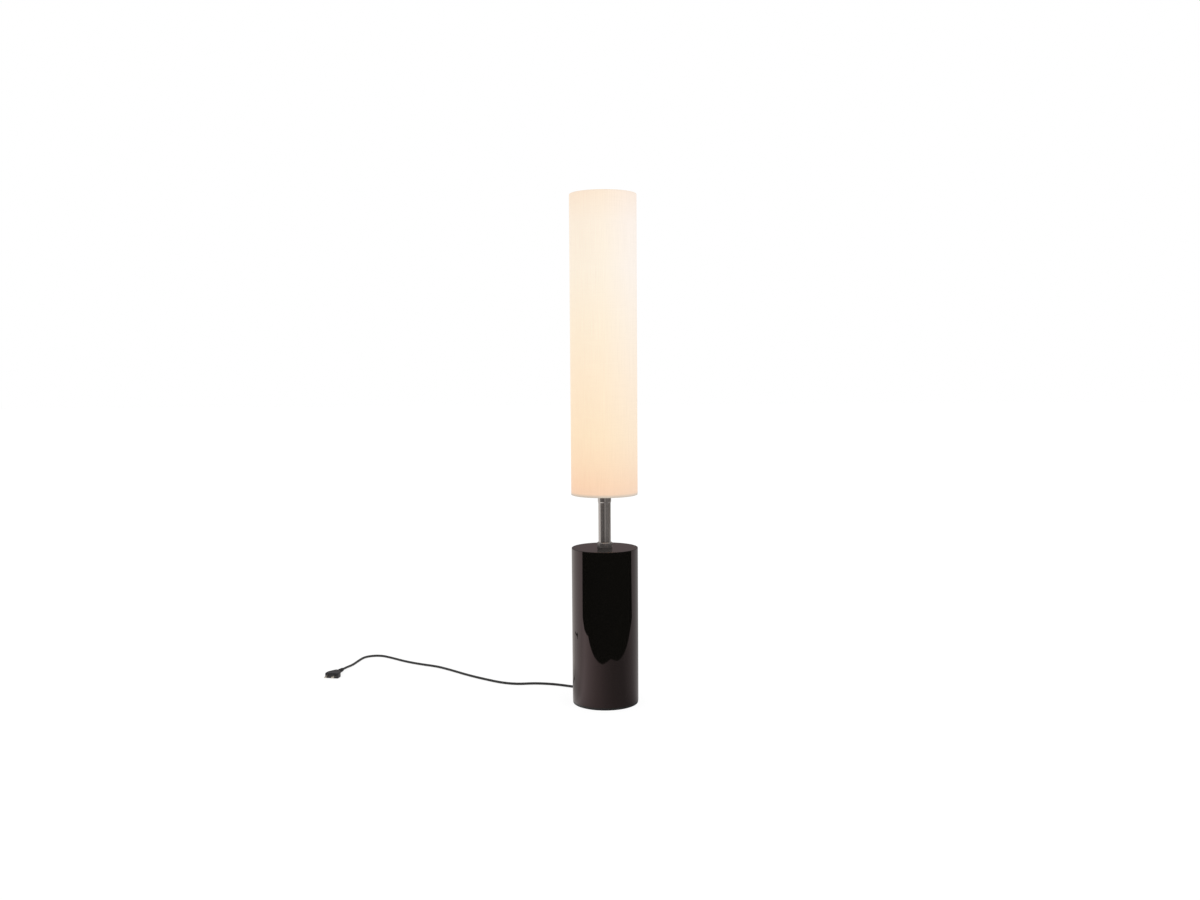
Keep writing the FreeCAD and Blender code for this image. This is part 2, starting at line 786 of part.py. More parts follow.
def bulb_outline(foot, inset):
    """The glass bulb's profile: straight neck, hollow shoulder, round head."""
    neck = bulb_neck_d / 2 - inset
    head = bulb_d / 2 - inset
    middle = foot + bulb_len - bulb_d / 2
    bottom = foot + bulb_cap_h - bulb_neck_in
    shoulder = foot + bulb_cap_h + bulb_neck_show
    lean = math.radians(bulb_shoulder_lean)
    join = V(head * math.cos(lean), 0, middle - head * math.sin(lean))
    hollow = bulb_shoulder_hollow
    half = V((neck + join.x) / 2 - hollow, 0, (shoulder + join.z) / 2 + hollow)
    side = V(head, 0, middle)                    # the head's widest place
    crown = V(0, 0, middle + head)
    return [
        Part.LineSegment(V(0, 0, bottom), V(neck, 0, bottom)).toShape(),
        Part.LineSegment(V(neck, 0, bottom), V(neck, 0, shoulder)).toShape(),
        Part.Arc(V(neck, 0, shoulder), half, join).toShape(),
        Part.Arc(join, side, crown).toShape(),
        Part.LineSegment(crown, V(0, 0, bottom)).toShape(),
    ]


def bulb_dome(side, z):
    foot = bulb_base_z(z)
    outside = revolved(bulb_outline(foot, 0.0), side * bulb_offset)
    return outside.cut(revolved(bulb_outline(foot, bulb_glass), side * bulb_offset))


def lead_ties():
    """Bands that hold the upper lampholder's lead to the carrier tube."""
    ties = []
    low = lower_bracket_z - tie_below_top
    high = upper_bracket_z - 2 * tie_below_top
    middle = (low + high) / 2
    x = lead_carrier_x
    lead_side = lead_d / 2 + tie_thick
    for z in (low, middle, high):
        top = z + tie_w
        outer = rod(carrier_d / 2 + tie_thick, z, top).fuse(rod(lead_side, z, top, x))
        outer = outer.fuse(box(0, x, -lead_side, lead_side, z, top)).removeSplitter()
        ties.append(outer.cut(rod(carrier_d / 2, z, top)).cut(rod(lead_d / 2, z, top, x)))
    return ties


# ---- shade ------------------------------------------------------------------------------------
def shade_fabric():
    return tube(shade_d / 2, liner_r, shade_z, shade_top_z)


def shade_liner():
    return tube(liner_r, liner_r - liner_thick, shade_z + liner_short, shade_top_z - liner_short)


def lower_ring():
    return torus(ring_r, ring_wire_d / 2, lower_ring_z)


def upper_spider():
    """The top ring with spokes that dip to a hub on the carrier's end."""
    hub_middle = V(hub_d / 2 - spoke_in, 0, hub_z + hub_thick / 2)
    reach = V(ring_r, 0, upper_ring_z) - hub_middle
    spoke = rod_from(hub_middle, reach, spoke_wire_d / 2, reach.Length)
    hub = rod(hub_d / 2, hub_z, hub_z + hub_thick)
    spider = union([torus(ring_r, ring_wire_d / 2, upper_ring_z), hub] + turned(spoke, 90, spokes))
    return spider.cut(rod(rod_d / 2 + soft_gap, hub_z - past, hub_z + hub_thick + past))


def finial():
    foot = hub_z + hub_thick
    top = foot + finial_h
    r = finial_d / 2
    shoulder = top - finial_dome_h
    crown = finial_crown_d / 2
    dome = Part.Arc(V(r, 0, shoulder), V(finial_dome_d / 2, 0, top - finial_dome_drop), V(crown, 0, top))
    knob = revolved(lines([(0, foot), (r - finial_bevel, foot), (r, foot + finial_bevel), (r, shoulder)])
                    + [dome.toShape()]
                    + lines([(crown, top), (0, top), (0, foot)]))
    return knob.cut(rod(rod_d / 2 + run_fit, foot, stud_top_z + soft_gap))


# ---- foot switch ------------------------------------------------------------------------------
switch_mid_y = switch_y + switch_len / 2
split_z = switch_tray_h
cover_top_z = switch_tray_h + switch_cover_h
roof_z = cover_top_z - switch_roof


def switch_corners():
    """Where the four screws stand."""
    across = (switch_x - switch_screw_x, switch_x + switch_screw_x)
    along = (switch_mid_y - switch_screw_y, switch_mid_y + switch_screw_y)
    return [(x, y) for x in across for y in along]


def contact_strip(x, z, thick):
    """A bar as long and wide as a contact, from height z."""
    return box(x - contact_strip_w / 2, x + contact_strip_w / 2,
               switch_mid_y - contact_strip_len / 2, switch_mid_y + contact_strip_len / 2, z, z + thick)


def contact_places():
    return (switch_x - contact_strip_x, switch_x + contact_strip_x)


def switch_screw(x, y):
    neck_z = switch_screw_sink + switch_screw_head_h
    head = rod(switch_screw_head_d / 2, switch_screw_sink, neck_z, x, y)
    thread = rod(switch_screw_d / 2, neck_z, roof_z - switch_screw_short, x, y)
    return head.fuse(thread).removeSplitter()


def housing_space(z0, z1):
    """The room inside the switch's walls."""
    w = switch_wall
    return rounded_prism(switch_w - 2 * w, switch_len - 2 * w, switch_corner_r - w,
                         switch_x, switch_y + w, z0, z1)


def switch_tray():
    tray = rounded_prism(switch_w, switch_len, switch_corner_r, switch_x, switch_y, 0, split_z)
    tray = tray.cut(housing_space(switch_wall, split_z))
    solids = [tray]
    for start, way in ((switch_y, -1), (switch_y + switch_len, 1)):
        solids.append(rod_from(V(switch_x, start - way * switch_wall, switch_cord_z), V(0, way, 0),
                               switch_collar_d / 2, switch_collar_len + switch_wall))
    post_r = spring_d / 2 - spring_wire_d - spring_post_gap
    solids.append(rod(post_r, switch_wall, switch_wall + spring_post_h, switch_x, switch_mid_y))
    solids += [rod(switch_column_d / 2, 0, split_z, x, y) for x, y in switch_corners()]
    solids += [contact_strip(x, switch_wall, contact_rib_h) for x in contact_places()]
    tray = union(solids)
    bore = rod_from(V(switch_x, switch_y - 2 * switch_collar_len, switch_cord_z), V(0, 1, 0),
                    cord_r + run_fit, switch_len + 4 * switch_collar_len)
    bare = box(switch_x - switch_bare_half, switch_x + switch_bare_half,
               switch_y + switch_len / 3, switch_y + switch_len * 2 / 3, 0, split_z)
    tray = tray.cut(bore.cut(bare))
    for x, y in switch_corners():
        sunk = switch_screw_sink + switch_screw_head_h
        tray = tray.cut(rod(switch_screw_head_d / 2 + slip, 0, sunk, x, y))
        tray = tray.cut(rod(switch_screw_d / 2 + slip, 0, split_z, x, y))
    return tray


def switch_cover():
    cover = rounded_prism(switch_w, switch_len, switch_corner_r, switch_x, switch_y, split_z, cover_top_z)
    top = [e for e in cover.Edges if e.BoundBox.ZMin > cover_top_z - touch]
    cover = cover.makeFillet(switch_top_r, top)
    cover = cover.cut(housing_space(split_z, roof_z))
    cover = union([cover] + [rod(switch_column_d / 2, split_z, roof_z, x, y) for x, y in switch_corners()])
    cover = cover.cut(rod(button_d / 2 + soft_gap, split_z, cover_top_z, switch_x, switch_mid_y))
    for x, y in switch_corners():
        cover = cover.cut(rod(switch_screw_d / 2, split_z, roof_z - switch_screw_short, x, y))
    return cover


def switch_button():
    top = cover_top_z + button_proud
    foot = cover_top_z - button_depth
    body = rod(button_d / 2, foot, top, switch_x, switch_mid_y)
    rim = [e for e in body.Edges if e.BoundBox.ZMin > top - touch]
    body = body.makeFillet(button_top_r, rim)
    flange_top = roof_z - soft_gap
    flange_z = flange_top - button_flange_thick
    flange = rod(button_d / 2 + button_flange, flange_z, flange_top, switch_x, switch_mid_y)
    return body.fuse(flange).removeSplitter()


def switch_spring():
    """A compression spring between the tray and the button."""
    z0 = switch_wall + soft_gap / 2
    z1 = cover_top_z - button_depth - soft_gap / 2
    wire_r = spring_wire_d / 2
    r = spring_d / 2 - wire_r
    rise = z1 - z0 - spring_wire_d
    count = 4 * spring_turns
    slope = rise / (2 * math.pi * spring_turns)
    states = []
    for i in range(count + 1):
        a = i * math.pi / 2
        c, s = r * math.cos(a), r * math.sin(a)
        point = V(switch_x + c, switch_mid_y + s, z0 + wire_r + rise * i / count)
        states.append((point, V(-s, c, slope).normalize()))
    edges = []
    for (p0, t0), (p1, t1) in zip(states, states[1:]):
        edges += biarc(p0, t0, p1, t1)
    least_gap(edges, spring_wire_d, "switch_spring")
    return swept(edges, wire_r, "switch_spring")


def switch_contacts():
    z = switch_wall + contact_rib_h
    return [contact_strip(x, z, contact_strip_thick) for x in contact_places()]


# ---- lead on the floor ------------------------------------------------------------------------
def cord_lead():
    return swept(route_edges(LEAD_ROUTE, "cord_lead"), cord_r, "cord_lead")


def cord_link():
    return swept(route_edges(LINK_ROUTE, "cord_link"), cord_r, "cord_link")


def cord_coil():
    least_gap(COIL_EDGES, cord_d, "cord_coil")
    return swept(COIL_EDGES, cord_r, "cord_coil")


def cord_run():
    return swept(route_edges([coil_exit] + RUN_ROUTE, "cord_run"), cord_r, "cord_run")


# ---- plug -------------------------------------------------------------------------------------
def at_plug(shape):
    """Moves a shape built along +X from the end of the lead to its place on the floor."""
    heading = math.atan2(plug_direction.y, plug_direction.x)
    shape.rotate(V(0, 0, 0), UP, math.degrees(heading))
    shape.translate(V(RUN_ROUTE[-1].x, RUN_ROUTE[-1].y, plug_cord_z))
    return shape


def pin_shapes():
    pins = []
    face_x = plug_relief_len + plug_len
    for y in (-pin_spacing / 2, pin_spacing / 2):
        pin = rod_from(V(face_x - pin_in, y, 0), V(1, 0, 0), pin_d / 2, pin_in + pin_len)
        tip = [e for e in pin.Edges if e.BoundBox.XMin > face_x + pin_len - touch]
        pins.append(pin.makeFillet(pin_tip_r, tip))
    return pins


def plug_body():
    a = plug_relief_len
    b = a + plug_taper
    c = a + plug_len
    neck, half = plug_neck_w / 2, plug_w / 2
    corners = [(a, -neck), (b, -half), (c, -half), (c, half), (b, half), (a, neck), (a, -neck)]
    face = Part.Face(Part.makePolygon([V(x, y, -plug_thick / 2) for x, y in corners]))
    body = face.extrude(V(0, 0, plug_thick))
    rounded = [e for e in body.Edges if e.BoundBox.XMax < c - touch or e.BoundBox.XLength > touch]
    body = body.makeFillet(plug_round, rounded)
    relief = Part.makeCone(plug_relief_tip_d / 2, plug_relief_d / 2, a + plug_round, V(0, 0, 0), V(1, 0, 0))
    body = union([body, relief]).cut(Part.Compound(pin_shapes()))
    return at_plug(body)


def plug_pins():
    return [at_plug(pin) for pin in pin_shapes()]


# ---- every piece, one file each ---------------------------------------------------------------
PIECES = {
    "foot_pad": foot_pad,
    "base_plate": base_plate,
    "counterweight": counterweight,
    "weight_screws": weight_screw_set,
    "base_shell": base_shell,
    "cord_gland": cord_gland,
    "gland_nut": gland_nut,
    "inner_cord": inner_cord,
    "terminal_bracket": terminal_bracket,
    "bracket_screws": lambda: [bracket_screw(x) for x in (-bracket_screw_x, bracket_screw_x)],
    "cord_clamp": cord_clamp,
    "clamp_screws": lambda: [clamp_screw(x) for x in (-bracket_screw_x, bracket_screw_x)],
    "terminal_block": terminal_block,
    "terminal_screws": terminal_screws,
    "lead_to_lower_holder": lambda: inner_lead(-1, lower_bracket_z, "lead_to_lower_holder"),
    "lead_to_upper_holder": lambda: inner_lead(1, upper_bracket_z, "lead_to_upper_holder"),
    "stem_collar": stem_collar,
    "stem_tube": stem_tube,
    "stem_cap": stem_cap,
    "tie_rod": tie_rod,
    "rod_washer": rod_washer,
    "rod_nut": rod_nut,
    "centring_star": centring_star,
    "star_tips": star_tips,
    "carrier_tube": carrier_tube,
    "top_stud": top_stud,
    "shade_seat": shade_seat,
    "seat_screw": seat_screw,
    "lower_holder_arm": lambda: holder_arm(-1, lower_bracket_z),
    "upper_holder_arm": lambda: holder_arm(1, upper_bracket_z),
    "arm_screws": lambda: [arm_screw(-1, lower_bracket_z), arm_screw(1, upper_bracket_z)],
    "holder_nipples": lambda: [holder_nipple(-1, lower_bracket_z), holder_nipple(1, upper_bracket_z)],
    "nipple_nuts": lambda: [nipple_nut(-1, lower_bracket_z), nipple_nut(1, upper_bracket_z)],
    "lower_lampholder": lambda: lampholder(-1, lower_bracket_z),
    "upper_lampholder": lambda: lampholder(1, upper_bracket_z),
    "holder_contacts": lambda: [holder_contact(-1, lower_bracket_z), holder_contact(1, upper_bracket_z)],
    "lower_bulb_cap": lambda: bulb_cap(-1, lower_bracket_z),
    "upper_bulb_cap": lambda: bulb_cap(1, upper_bracket_z),
    "lower_bulb_dome": lambda: bulb_dome(-1, lower_bracket_z),
    "upper_bulb_dome": lambda: bulb_dome(1, upper_bracket_z),
    "lead_ties": lead_ties,
    "shade_fabric": shade_fabric,
    "shade_liner": shade_liner,
    "lower_ring": lower_ring,
    "upper_spider": upper_spider,
    "finial": finial,
    "switch_tray": switch_tray,
    "switch_cover": switch_cover,
    "switch_button": switch_button,
    "switch_spring": switch_spring,
    "switch_contacts": switch_contacts,
    "switch_screws": lambda: [switch_screw(x, y) for x, y in switch_corners()],
    "cord_lead": cord_lead,
    "cord_link": cord_link,
    "cord_coil": cord_coil,
    "cord_run": cord_run,
    "plug_body": plug_body,
    "plug_pins": plug_pins,
}


def main():
    os.makedirs("parts", exist_ok=True)
    for name, make in PIECES.items():
        shape = make()
        solids = shape if isinstance(shape, list) else shape.Solids
        for solid in solids:
            if not solid.isValid():
                raise RuntimeError(name + " has a solid that is not valid")
        result = solids[0] if len(solids) == 1 else Part.Compound(solids)
        result.exportStep("parts/" + name + ".step")
        print("%-22s %d solid(s) %10.1f mm3" % (name, len(solids), sum(s.Volume for s in solids)))


main()
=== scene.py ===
"""Column floor lamp: the looks, built as add-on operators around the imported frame."""

import math

import bmesh
import bpy
from bpy.props import FloatProperty, FloatVectorProperty, IntProperty, PointerProperty, StringProperty
from mathutils import Matrix, Vector


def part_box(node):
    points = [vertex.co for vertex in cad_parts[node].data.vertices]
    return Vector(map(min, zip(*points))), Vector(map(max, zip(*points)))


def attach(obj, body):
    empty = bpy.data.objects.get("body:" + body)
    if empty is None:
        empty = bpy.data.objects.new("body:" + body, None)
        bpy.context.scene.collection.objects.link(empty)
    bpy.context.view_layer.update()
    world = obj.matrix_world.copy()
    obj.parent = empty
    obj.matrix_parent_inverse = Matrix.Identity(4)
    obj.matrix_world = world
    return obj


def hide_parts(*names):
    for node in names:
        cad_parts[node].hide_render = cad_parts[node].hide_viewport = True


bl_info = {
    "name": "Column floor lamp",
    "version": (1, 0, 0),
    "blender": (4, 5, 0),
    "location": "View3D > Sidebar > Lamp",
    "description": "Dresses the frame of a column floor lamp: finishes, shade cloth, lead and stage",
    "category": "Object",
}

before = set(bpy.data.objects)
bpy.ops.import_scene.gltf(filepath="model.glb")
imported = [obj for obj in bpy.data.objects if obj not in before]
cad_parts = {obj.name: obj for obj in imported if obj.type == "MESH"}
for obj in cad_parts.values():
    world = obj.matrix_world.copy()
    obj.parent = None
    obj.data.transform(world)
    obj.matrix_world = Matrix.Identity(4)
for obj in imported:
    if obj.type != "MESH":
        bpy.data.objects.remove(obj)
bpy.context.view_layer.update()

MM = 0.001
TOUCH = 1e-7
BASE_LOW, BASE_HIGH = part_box("base_shell")
COLLAR_LOW, COLLAR_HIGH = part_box("stem_collar")
TUBE_LOW, TUBE_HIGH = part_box("stem_tube")
CAP_LOW, CAP_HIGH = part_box("stem_cap")
SHADE_LOW, SHADE_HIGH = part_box("shade_fabric")
FINIAL_LOW, FINIAL_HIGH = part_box("finial")
TRAY_LOW, TRAY_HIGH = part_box("switch_tray")
COVER_LOW, COVER_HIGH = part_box("switch_cover")
BUTTON_LOW, BUTTON_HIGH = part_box("switch_button")
GLAND_LOW, GLAND_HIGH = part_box("cord_gland")
UP = Vector((0, 0, 1))


# ---- sizes and colours that a user would change ------------------------------------------------
def length(name, text, size):
    """A length property with its default in metres."""
    return FloatProperty(name=name, description=text, default=size, min=0.0, unit="LENGTH", precision=5)


class LampSizes(bpy.types.PropertyGroup):
    """Sizes of the dressed pieces that the frame doesn't give."""

    cord: length("Lead", "Diameter of the sheathed lead", 6.0 * MM)
    cloth: length("Cloth", "Thickness of the shade cloth", 0.6 * MM)
    hem: length("Hem", "How far the cloth is turned up inside the shade", 13.0 * MM)
    lap: length("Lap", "Overlap of the cloth's upright seam", 11.0 * MM)
    thread: length("Thread", "Spacing of the cloth's threads", 0.45 * MM)
    base_edge: length("Base edge", "Rounding of the base's upper rim", 1.2 * MM)
    shell_wall: length("Shell wall", "Thickness of the base's shell", 1.5 * MM)
    knurls: IntProperty(name="Knurls", description="Ribs round the top knob", default=36, min=3)
    turn_steps: IntProperty(name="Turning steps", description="Faces round a turned piece", default=160,
                            min=24)


def colour(name, text, value):
    """A colour property, written as an sRGB hex value."""
    return StringProperty(name=name, description=text, default=value)


class LampColours(bpy.types.PropertyGroup):
    """Colours of the main finishes, as sRGB hex values."""

    lacquer: colour("Lacquer", "Gloss lacquer on the base", "#0e0d0b")
    nickel: colour("Dark nickel", "Plated stem, collar and cap", "#b3afac")
    cloth: colour("Shade cloth", "The cloth when the lamp is off", "#c4baab")
    sheath: colour("Lead sheath", "PVC sheath of the lead", "#232324")
    plastic: colour("Black plastic", "Moulded switch, plug and gland", "#19191b")
    glow_high: colour("Glow, upper", "Light through the cloth beside the upper bulb", "#b1a99d")
    glow_low: colour("Glow, lower", "Light through the cloth at the lower edge", "#a7744a")


class LampView(bpy.types.PropertyGroup):
    """The photograph's view."""

    place: FloatVectorProperty(name="Place", description="Where the camera stands", size=3,
                               default=(0.0, -2.622, 0.764), subtype="XYZ", unit="LENGTH")
    yaw: FloatProperty(name="Yaw", description="Turn to the right", default=-0.0036, unit="ROTATION")
    pitch: FloatProperty(name="Pitch", description="Tilt down", default=0.0716, unit="ROTATION")
    roll: FloatProperty(name="Roll", description="Turn about the view's own line", default=0.0062,
                        unit="ROTATION")
    focal: FloatProperty(name="Focal length", description="Lens for a 36 mm wide picture", default=35.01,
                         unit="CAMERA")


# ---- small tools -------------------------------------------------------------------------------
def linear(text):
    """The linear red, green, blue and alpha of an sRGB hex value."""
    parts = [int(text[i:i + 2], 16) / 255 for i in (1, 3, 5)]
    return [p / 12.92 if p <= 0.04045 else ((p + 0.055) / 1.055) ** 2.4 for p in parts] + [1.0]


def fill(tree, node, inputs):
    """Link or set a node's inputs; a node given as a value stands for its first output."""
    for key, value in inputs.items():
        if isinstance(value, bpy.types.Node):
            value = value.outputs[0]
        if isinstance(value, bpy.types.NodeSocket):
            tree.links.new(value, node.inputs[key])
        else:
            node.inputs[key].default_value = value


def put(tree, kind, inputs=None, stops=(), **settings):
    """Add a node, set its properties, fill its inputs, and place a ramp's stops."""
    made = tree.nodes.new(kind)
    for name, value in settings.items():
        setattr(made, name, value)
    fill(tree, made, inputs or {})
    if stops:
        ramp = made.color_ramp
        while len(ramp.elements) < len(stops):
            ramp.elements.new(1.0)
        for element, (position, shade) in zip(ramp.elements, stops):
            element.position = position
            element.color = linear(shade)
    return made


def mesh_from(name, bm):
    """A mesh from a bmesh with its faces turned outwards."""
    bmesh.ops.remove_doubles(bm, verts=bm.verts, dist=TOUCH)
    bmesh.ops.recalc_face_normals(bm, faces=bm.faces)
    mesh = bpy.data.meshes.new(name)
    bm.to_mesh(mesh)
    bm.free()
    return mesh


def piece(name, mesh, body, slot, *nodes, crease=35.0):
    """Link a mesh as a piece that rides a body, takes a slot's finish and stands for CAD nodes."""
    made = bpy.data.objects.new(name, mesh)
    bpy.context.scene.collection.objects.link(made)
    mesh.materials.clear()
    mesh.materials.append(FINISHES[slot])
    mesh.shade_smooth()
    if crease:
        mesh.set_sharp_from_angle(angle=math.radians(crease))
    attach(made, body)
    if nodes:
        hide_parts(*nodes)
    return made


def eased(corners, steps=6):
    """Profile points from (radius, height, rounding) corners of a closed outline."""
    points = []
    for i, (x, z, ease) in enumerate(corners):
        here = Vector((x, z))
        if not ease:
            points.append(here)
            continue
        back = (Vector(corners[i - 1][:2]) - here).normalized()
        ahead = (Vector(corners[(i + 1) % len(corners)][:2]) - here).normalized()
        half = back.angle(ahead) / 2
        middle = here + (back + ahead).normalized() * (ease / math.sin(half))
        first = here + back * (ease / math.tan(half)) - middle
        last = here + ahead * (ease / math.tan(half)) - middle
        sweep = first.angle(last)
        for step in range(steps + 1):
            a, b = math.sin(sweep * (1 - step / steps)), math.sin(sweep * step / steps)
            points.append(middle + (first * a + last * b) / math.sin(sweep))
    return points


def supported(points, gap=0.25 * MM):
    """The closed outline with points added close to the ends of its long runs, for true shading."""
    dense = []
    for here, there in zip(points, points[1:] + points[:1]):
        dense.append(here)
        if (there - here).length > 6 * gap:
            way = (there - here).normalized() * gap
            dense += [here + way, there - way]
    return dense


def turned_piece(name, outline, steps, body, slot, *nodes, place=Matrix()):
    """A piece made by turning a closed outline of (radius, height) points about its upright axis."""
    bm = bmesh.new()
    rings = []
    for r, z in supported(outline):
        count = 1 if r < TOUCH else steps
        turns = [math.tau * i / steps for i in range(count)]
        rings.append([bm.verts.new(place @ Vector((r * math.cos(a), r * math.sin(a), z))) for a in turns])
    for low, high in zip(rings, rings[1:] + rings[:1]):
        for i in range(steps):
            j = (i + 1) % steps
            corners = [low[i % len(low)], low[j % len(low)], high[j % len(high)], high[i % len(high)]]
            corners = list(dict.fromkeys(corners))
            if len(corners) > 2:
                bm.faces.new(corners)
    return piece(name, mesh_from(name, bm), body, slot, *nodes)


def lofted_piece(name, sections, steps, place, node):
    """A black moulding through rectangles with round corners: (half x, half y, corner, height)."""
    bm = bmesh.new()
    rings = []
    for half_x, half_y, corner, z in sections:
        rings.append([])
        for quarter, (sx, sy) in enumerate(((1, 1), (-1, 1), (-1, -1), (1, -1))):
            for step in range(steps + 1):
                a = math.pi / 2 * (quarter + step / steps)
                x = sx * (half_x - corner) + corner * math.cos(a)
                y = sy * (half_y - corner) + corner * math.sin(a)
                rings[-1].append(bm.verts.new(place @ Vector((x, y, z))))
    for low, high in zip(rings, rings[1:]):
        for i in range(len(low)):
            j = (i + 1) % len(low)
            bm.faces.new((low[i], low[j], high[j], high[i]))
    bm.faces.new(rings[0][::-1])
    bm.faces.new(rings[-1])
    return piece(name, mesh_from(name, bm), "lamp", "black_plastic", node, crease=50)


# ---- geometry trees ----------------------------------------------------------------------------
def new_tree(name, sockets):
    """A geometry tree with named inputs; returned with its input and output nodes."""
    tree = bpy.data.node_groups.new(name, "GeometryNodeTree")
    tree.interface.new_socket("Geometry", in_out="INPUT", socket_type="NodeSocketGeometry")
    tree.interface.new_socket("Geometry", in_out="OUTPUT", socket_type="NodeSocketGeometry")
    for label, kind in sockets:
        tree.interface.new_socket(label, in_out="INPUT", socket_type="NodeSocket" + kind)
    return tree, put(tree, "NodeGroupInput").outputs, put(tree, "NodeGroupOutput")


def coated_end(tree, last, material, out):
    """End a geometry tree: real geometry with its material."""
    realised = put(tree, "GeometryNodeRealizeInstances", {0: last})
    coated = put(tree, "GeometryNodeSetMaterial", {"Geometry": realised, "Material": material})
    fill(tree, out, {0: coated})
    return tree


def grown(name, tree, values, start=None):
    """The plain mesh that a geometry tree makes from its inputs."""
    carrier = bpy.data.objects.new("carrier", start or bpy.data.meshes.new("carrier"))
    bpy.context.scene.collection.objects.link(carrier)
    modifier = carrier.modifiers.new("tree", "NODES")
    modifier.node_group = tree
    for socket in tree.interface.items_tree:
        if socket.in_out == "INPUT" and socket.name in values:
            modifier[socket.identifier] = values[socket.name]
    graph = bpy.context.evaluated_depsgraph_get()
    mesh = bpy.data.meshes.new_from_object(carrier.evaluated_get(graph), preserve_all_data_layers=True,
                                           depsgraph=graph)
    mesh.name = name
    carrier.modifiers.remove(modifier)
    bpy.data.objects.remove(carrier)
    return mesh


def cloth_tree():
    """Wraps an edge-on section round the axis as one sheet with a lapped seam and metre UVs."""
    tree, size, out = new_tree("Wrapped shade cloth", [
        ("Columns", "Int"), ("Rows", "Int"), ("Crowding", "Float"), ("Fold", "Float"), ("Fold steps", "Int"),
        ("Seam angle", "Float"), ("Lap angle", "Float"), ("Lap start", "Float"), ("Lap rise", "Float"),
        ("Round", "Float"), ("Material", "Material")])
    sheet = put(tree, "GeometryNodeMeshGrid", {"Size X": 1.0, "Size Y": 1.0, "Vertices X": size["Columns"],
                                               "Vertices Y": size["Rows"]})
    spot = put(tree, "ShaderNodeSeparateXYZ", {0: put(tree, "GeometryNodeInputPosition")}).outputs
    u, v = [put(tree, "ShaderNodeMath", {0: spot[axis], 1: 0.5}, operation="ADD") for axis in "XY"]
    # rows crowd towards both edges, where the cloth is folded
    turn = put(tree, "ShaderNodeMath", {0: v, 1: math.tau}, operation="MULTIPLY")
    wave = put(tree, "ShaderNodeMath", {0: turn}, operation="SINE")
    shift = put(tree, "ShaderNodeMath", {0: wave, 1: size["Crowding"]}, operation="MULTIPLY")
    part = put(tree, "ShaderNodeMath", {0: shift, 1: math.tau}, operation="DIVIDE")
    along = put(tree, "ShaderNodeMath", {0: v, 1: part}, operation="SUBTRACT")
    section = put(tree, "GeometryNodeMeshToCurve", {0: size["Geometry"]})
    folded = put(tree, "GeometryNodeFilletCurve", {"Curve": section, "Radius": size["Fold"],
                                                   "Limit Radius": True, "Count": size["Fold steps"]},
                 mode="POLY")
    point = put(tree, "GeometryNodeSampleCurve", {"Curves": folded, "Factor": along},
                mode="FACTOR", use_all_curves=True)
    place = put(tree, "ShaderNodeSeparateXYZ", {0: point.outputs["Position"]})
    whole = put(tree, "ShaderNodeMath", {0: math.tau, 1: size["Lap angle"]}, operation="ADD")
    swing = put(tree, "ShaderNodeMath", {0: u, 1: whole}, operation="MULTIPLY")
    angle = put(tree, "ShaderNodeMath", {0: swing, 1: size["Seam angle"]}, operation="ADD")
    # past a full turn the cloth lies on its own first edge
    rise_start = put(tree, "ShaderNodeMath", {0: math.tau, 1: size["Lap start"]},
                     operation="SUBTRACT")
    rise = put(tree, "ShaderNodeMapRange", {"Value": swing, "From Min": rise_start, "From Max": math.tau,
                                            "To Max": size["Lap rise"]},
               interpolation_type="SMOOTHSTEP")
    radius = put(tree, "ShaderNodeMath", {0: place.outputs["X"], 1: rise}, operation="ADD")
    ways = [put(tree, "ShaderNodeMath", {0: angle}, operation=kind) for kind in ("COSINE", "SINE")]
    x, y = [put(tree, "ShaderNodeMath", {0: radius, 1: way}, operation="MULTIPLY") for way in ways]
    goal = put(tree, "ShaderNodeCombineXYZ", {"X": x, "Y": y, "Z": place.outputs["Z"]})
    round_about = put(tree, "ShaderNodeMath", {0: u, 1: size["Round"]}, operation="MULTIPLY")
    reach = put(tree, "GeometryNodeCurveLength", {0: folded})
    upward = put(tree, "ShaderNodeMath", {0: along, 1: reach}, operation="MULTIPLY")
    flat = put(tree, "ShaderNodeCombineXYZ", {"X": round_about, "Y": upward})
    marked = put(tree, "GeometryNodeStoreNamedAttribute",
                 {"Geometry": sheet.outputs["Mesh"], "Name": "UVMap", "Value": flat},
                 data_type="FLOAT2", domain="CORNER")
    wrapped = put(tree, "GeometryNodeSetPosition", {"Geometry": marked, "Position": goal})
    return coated_end(tree, wrapped, size["Material"], out)


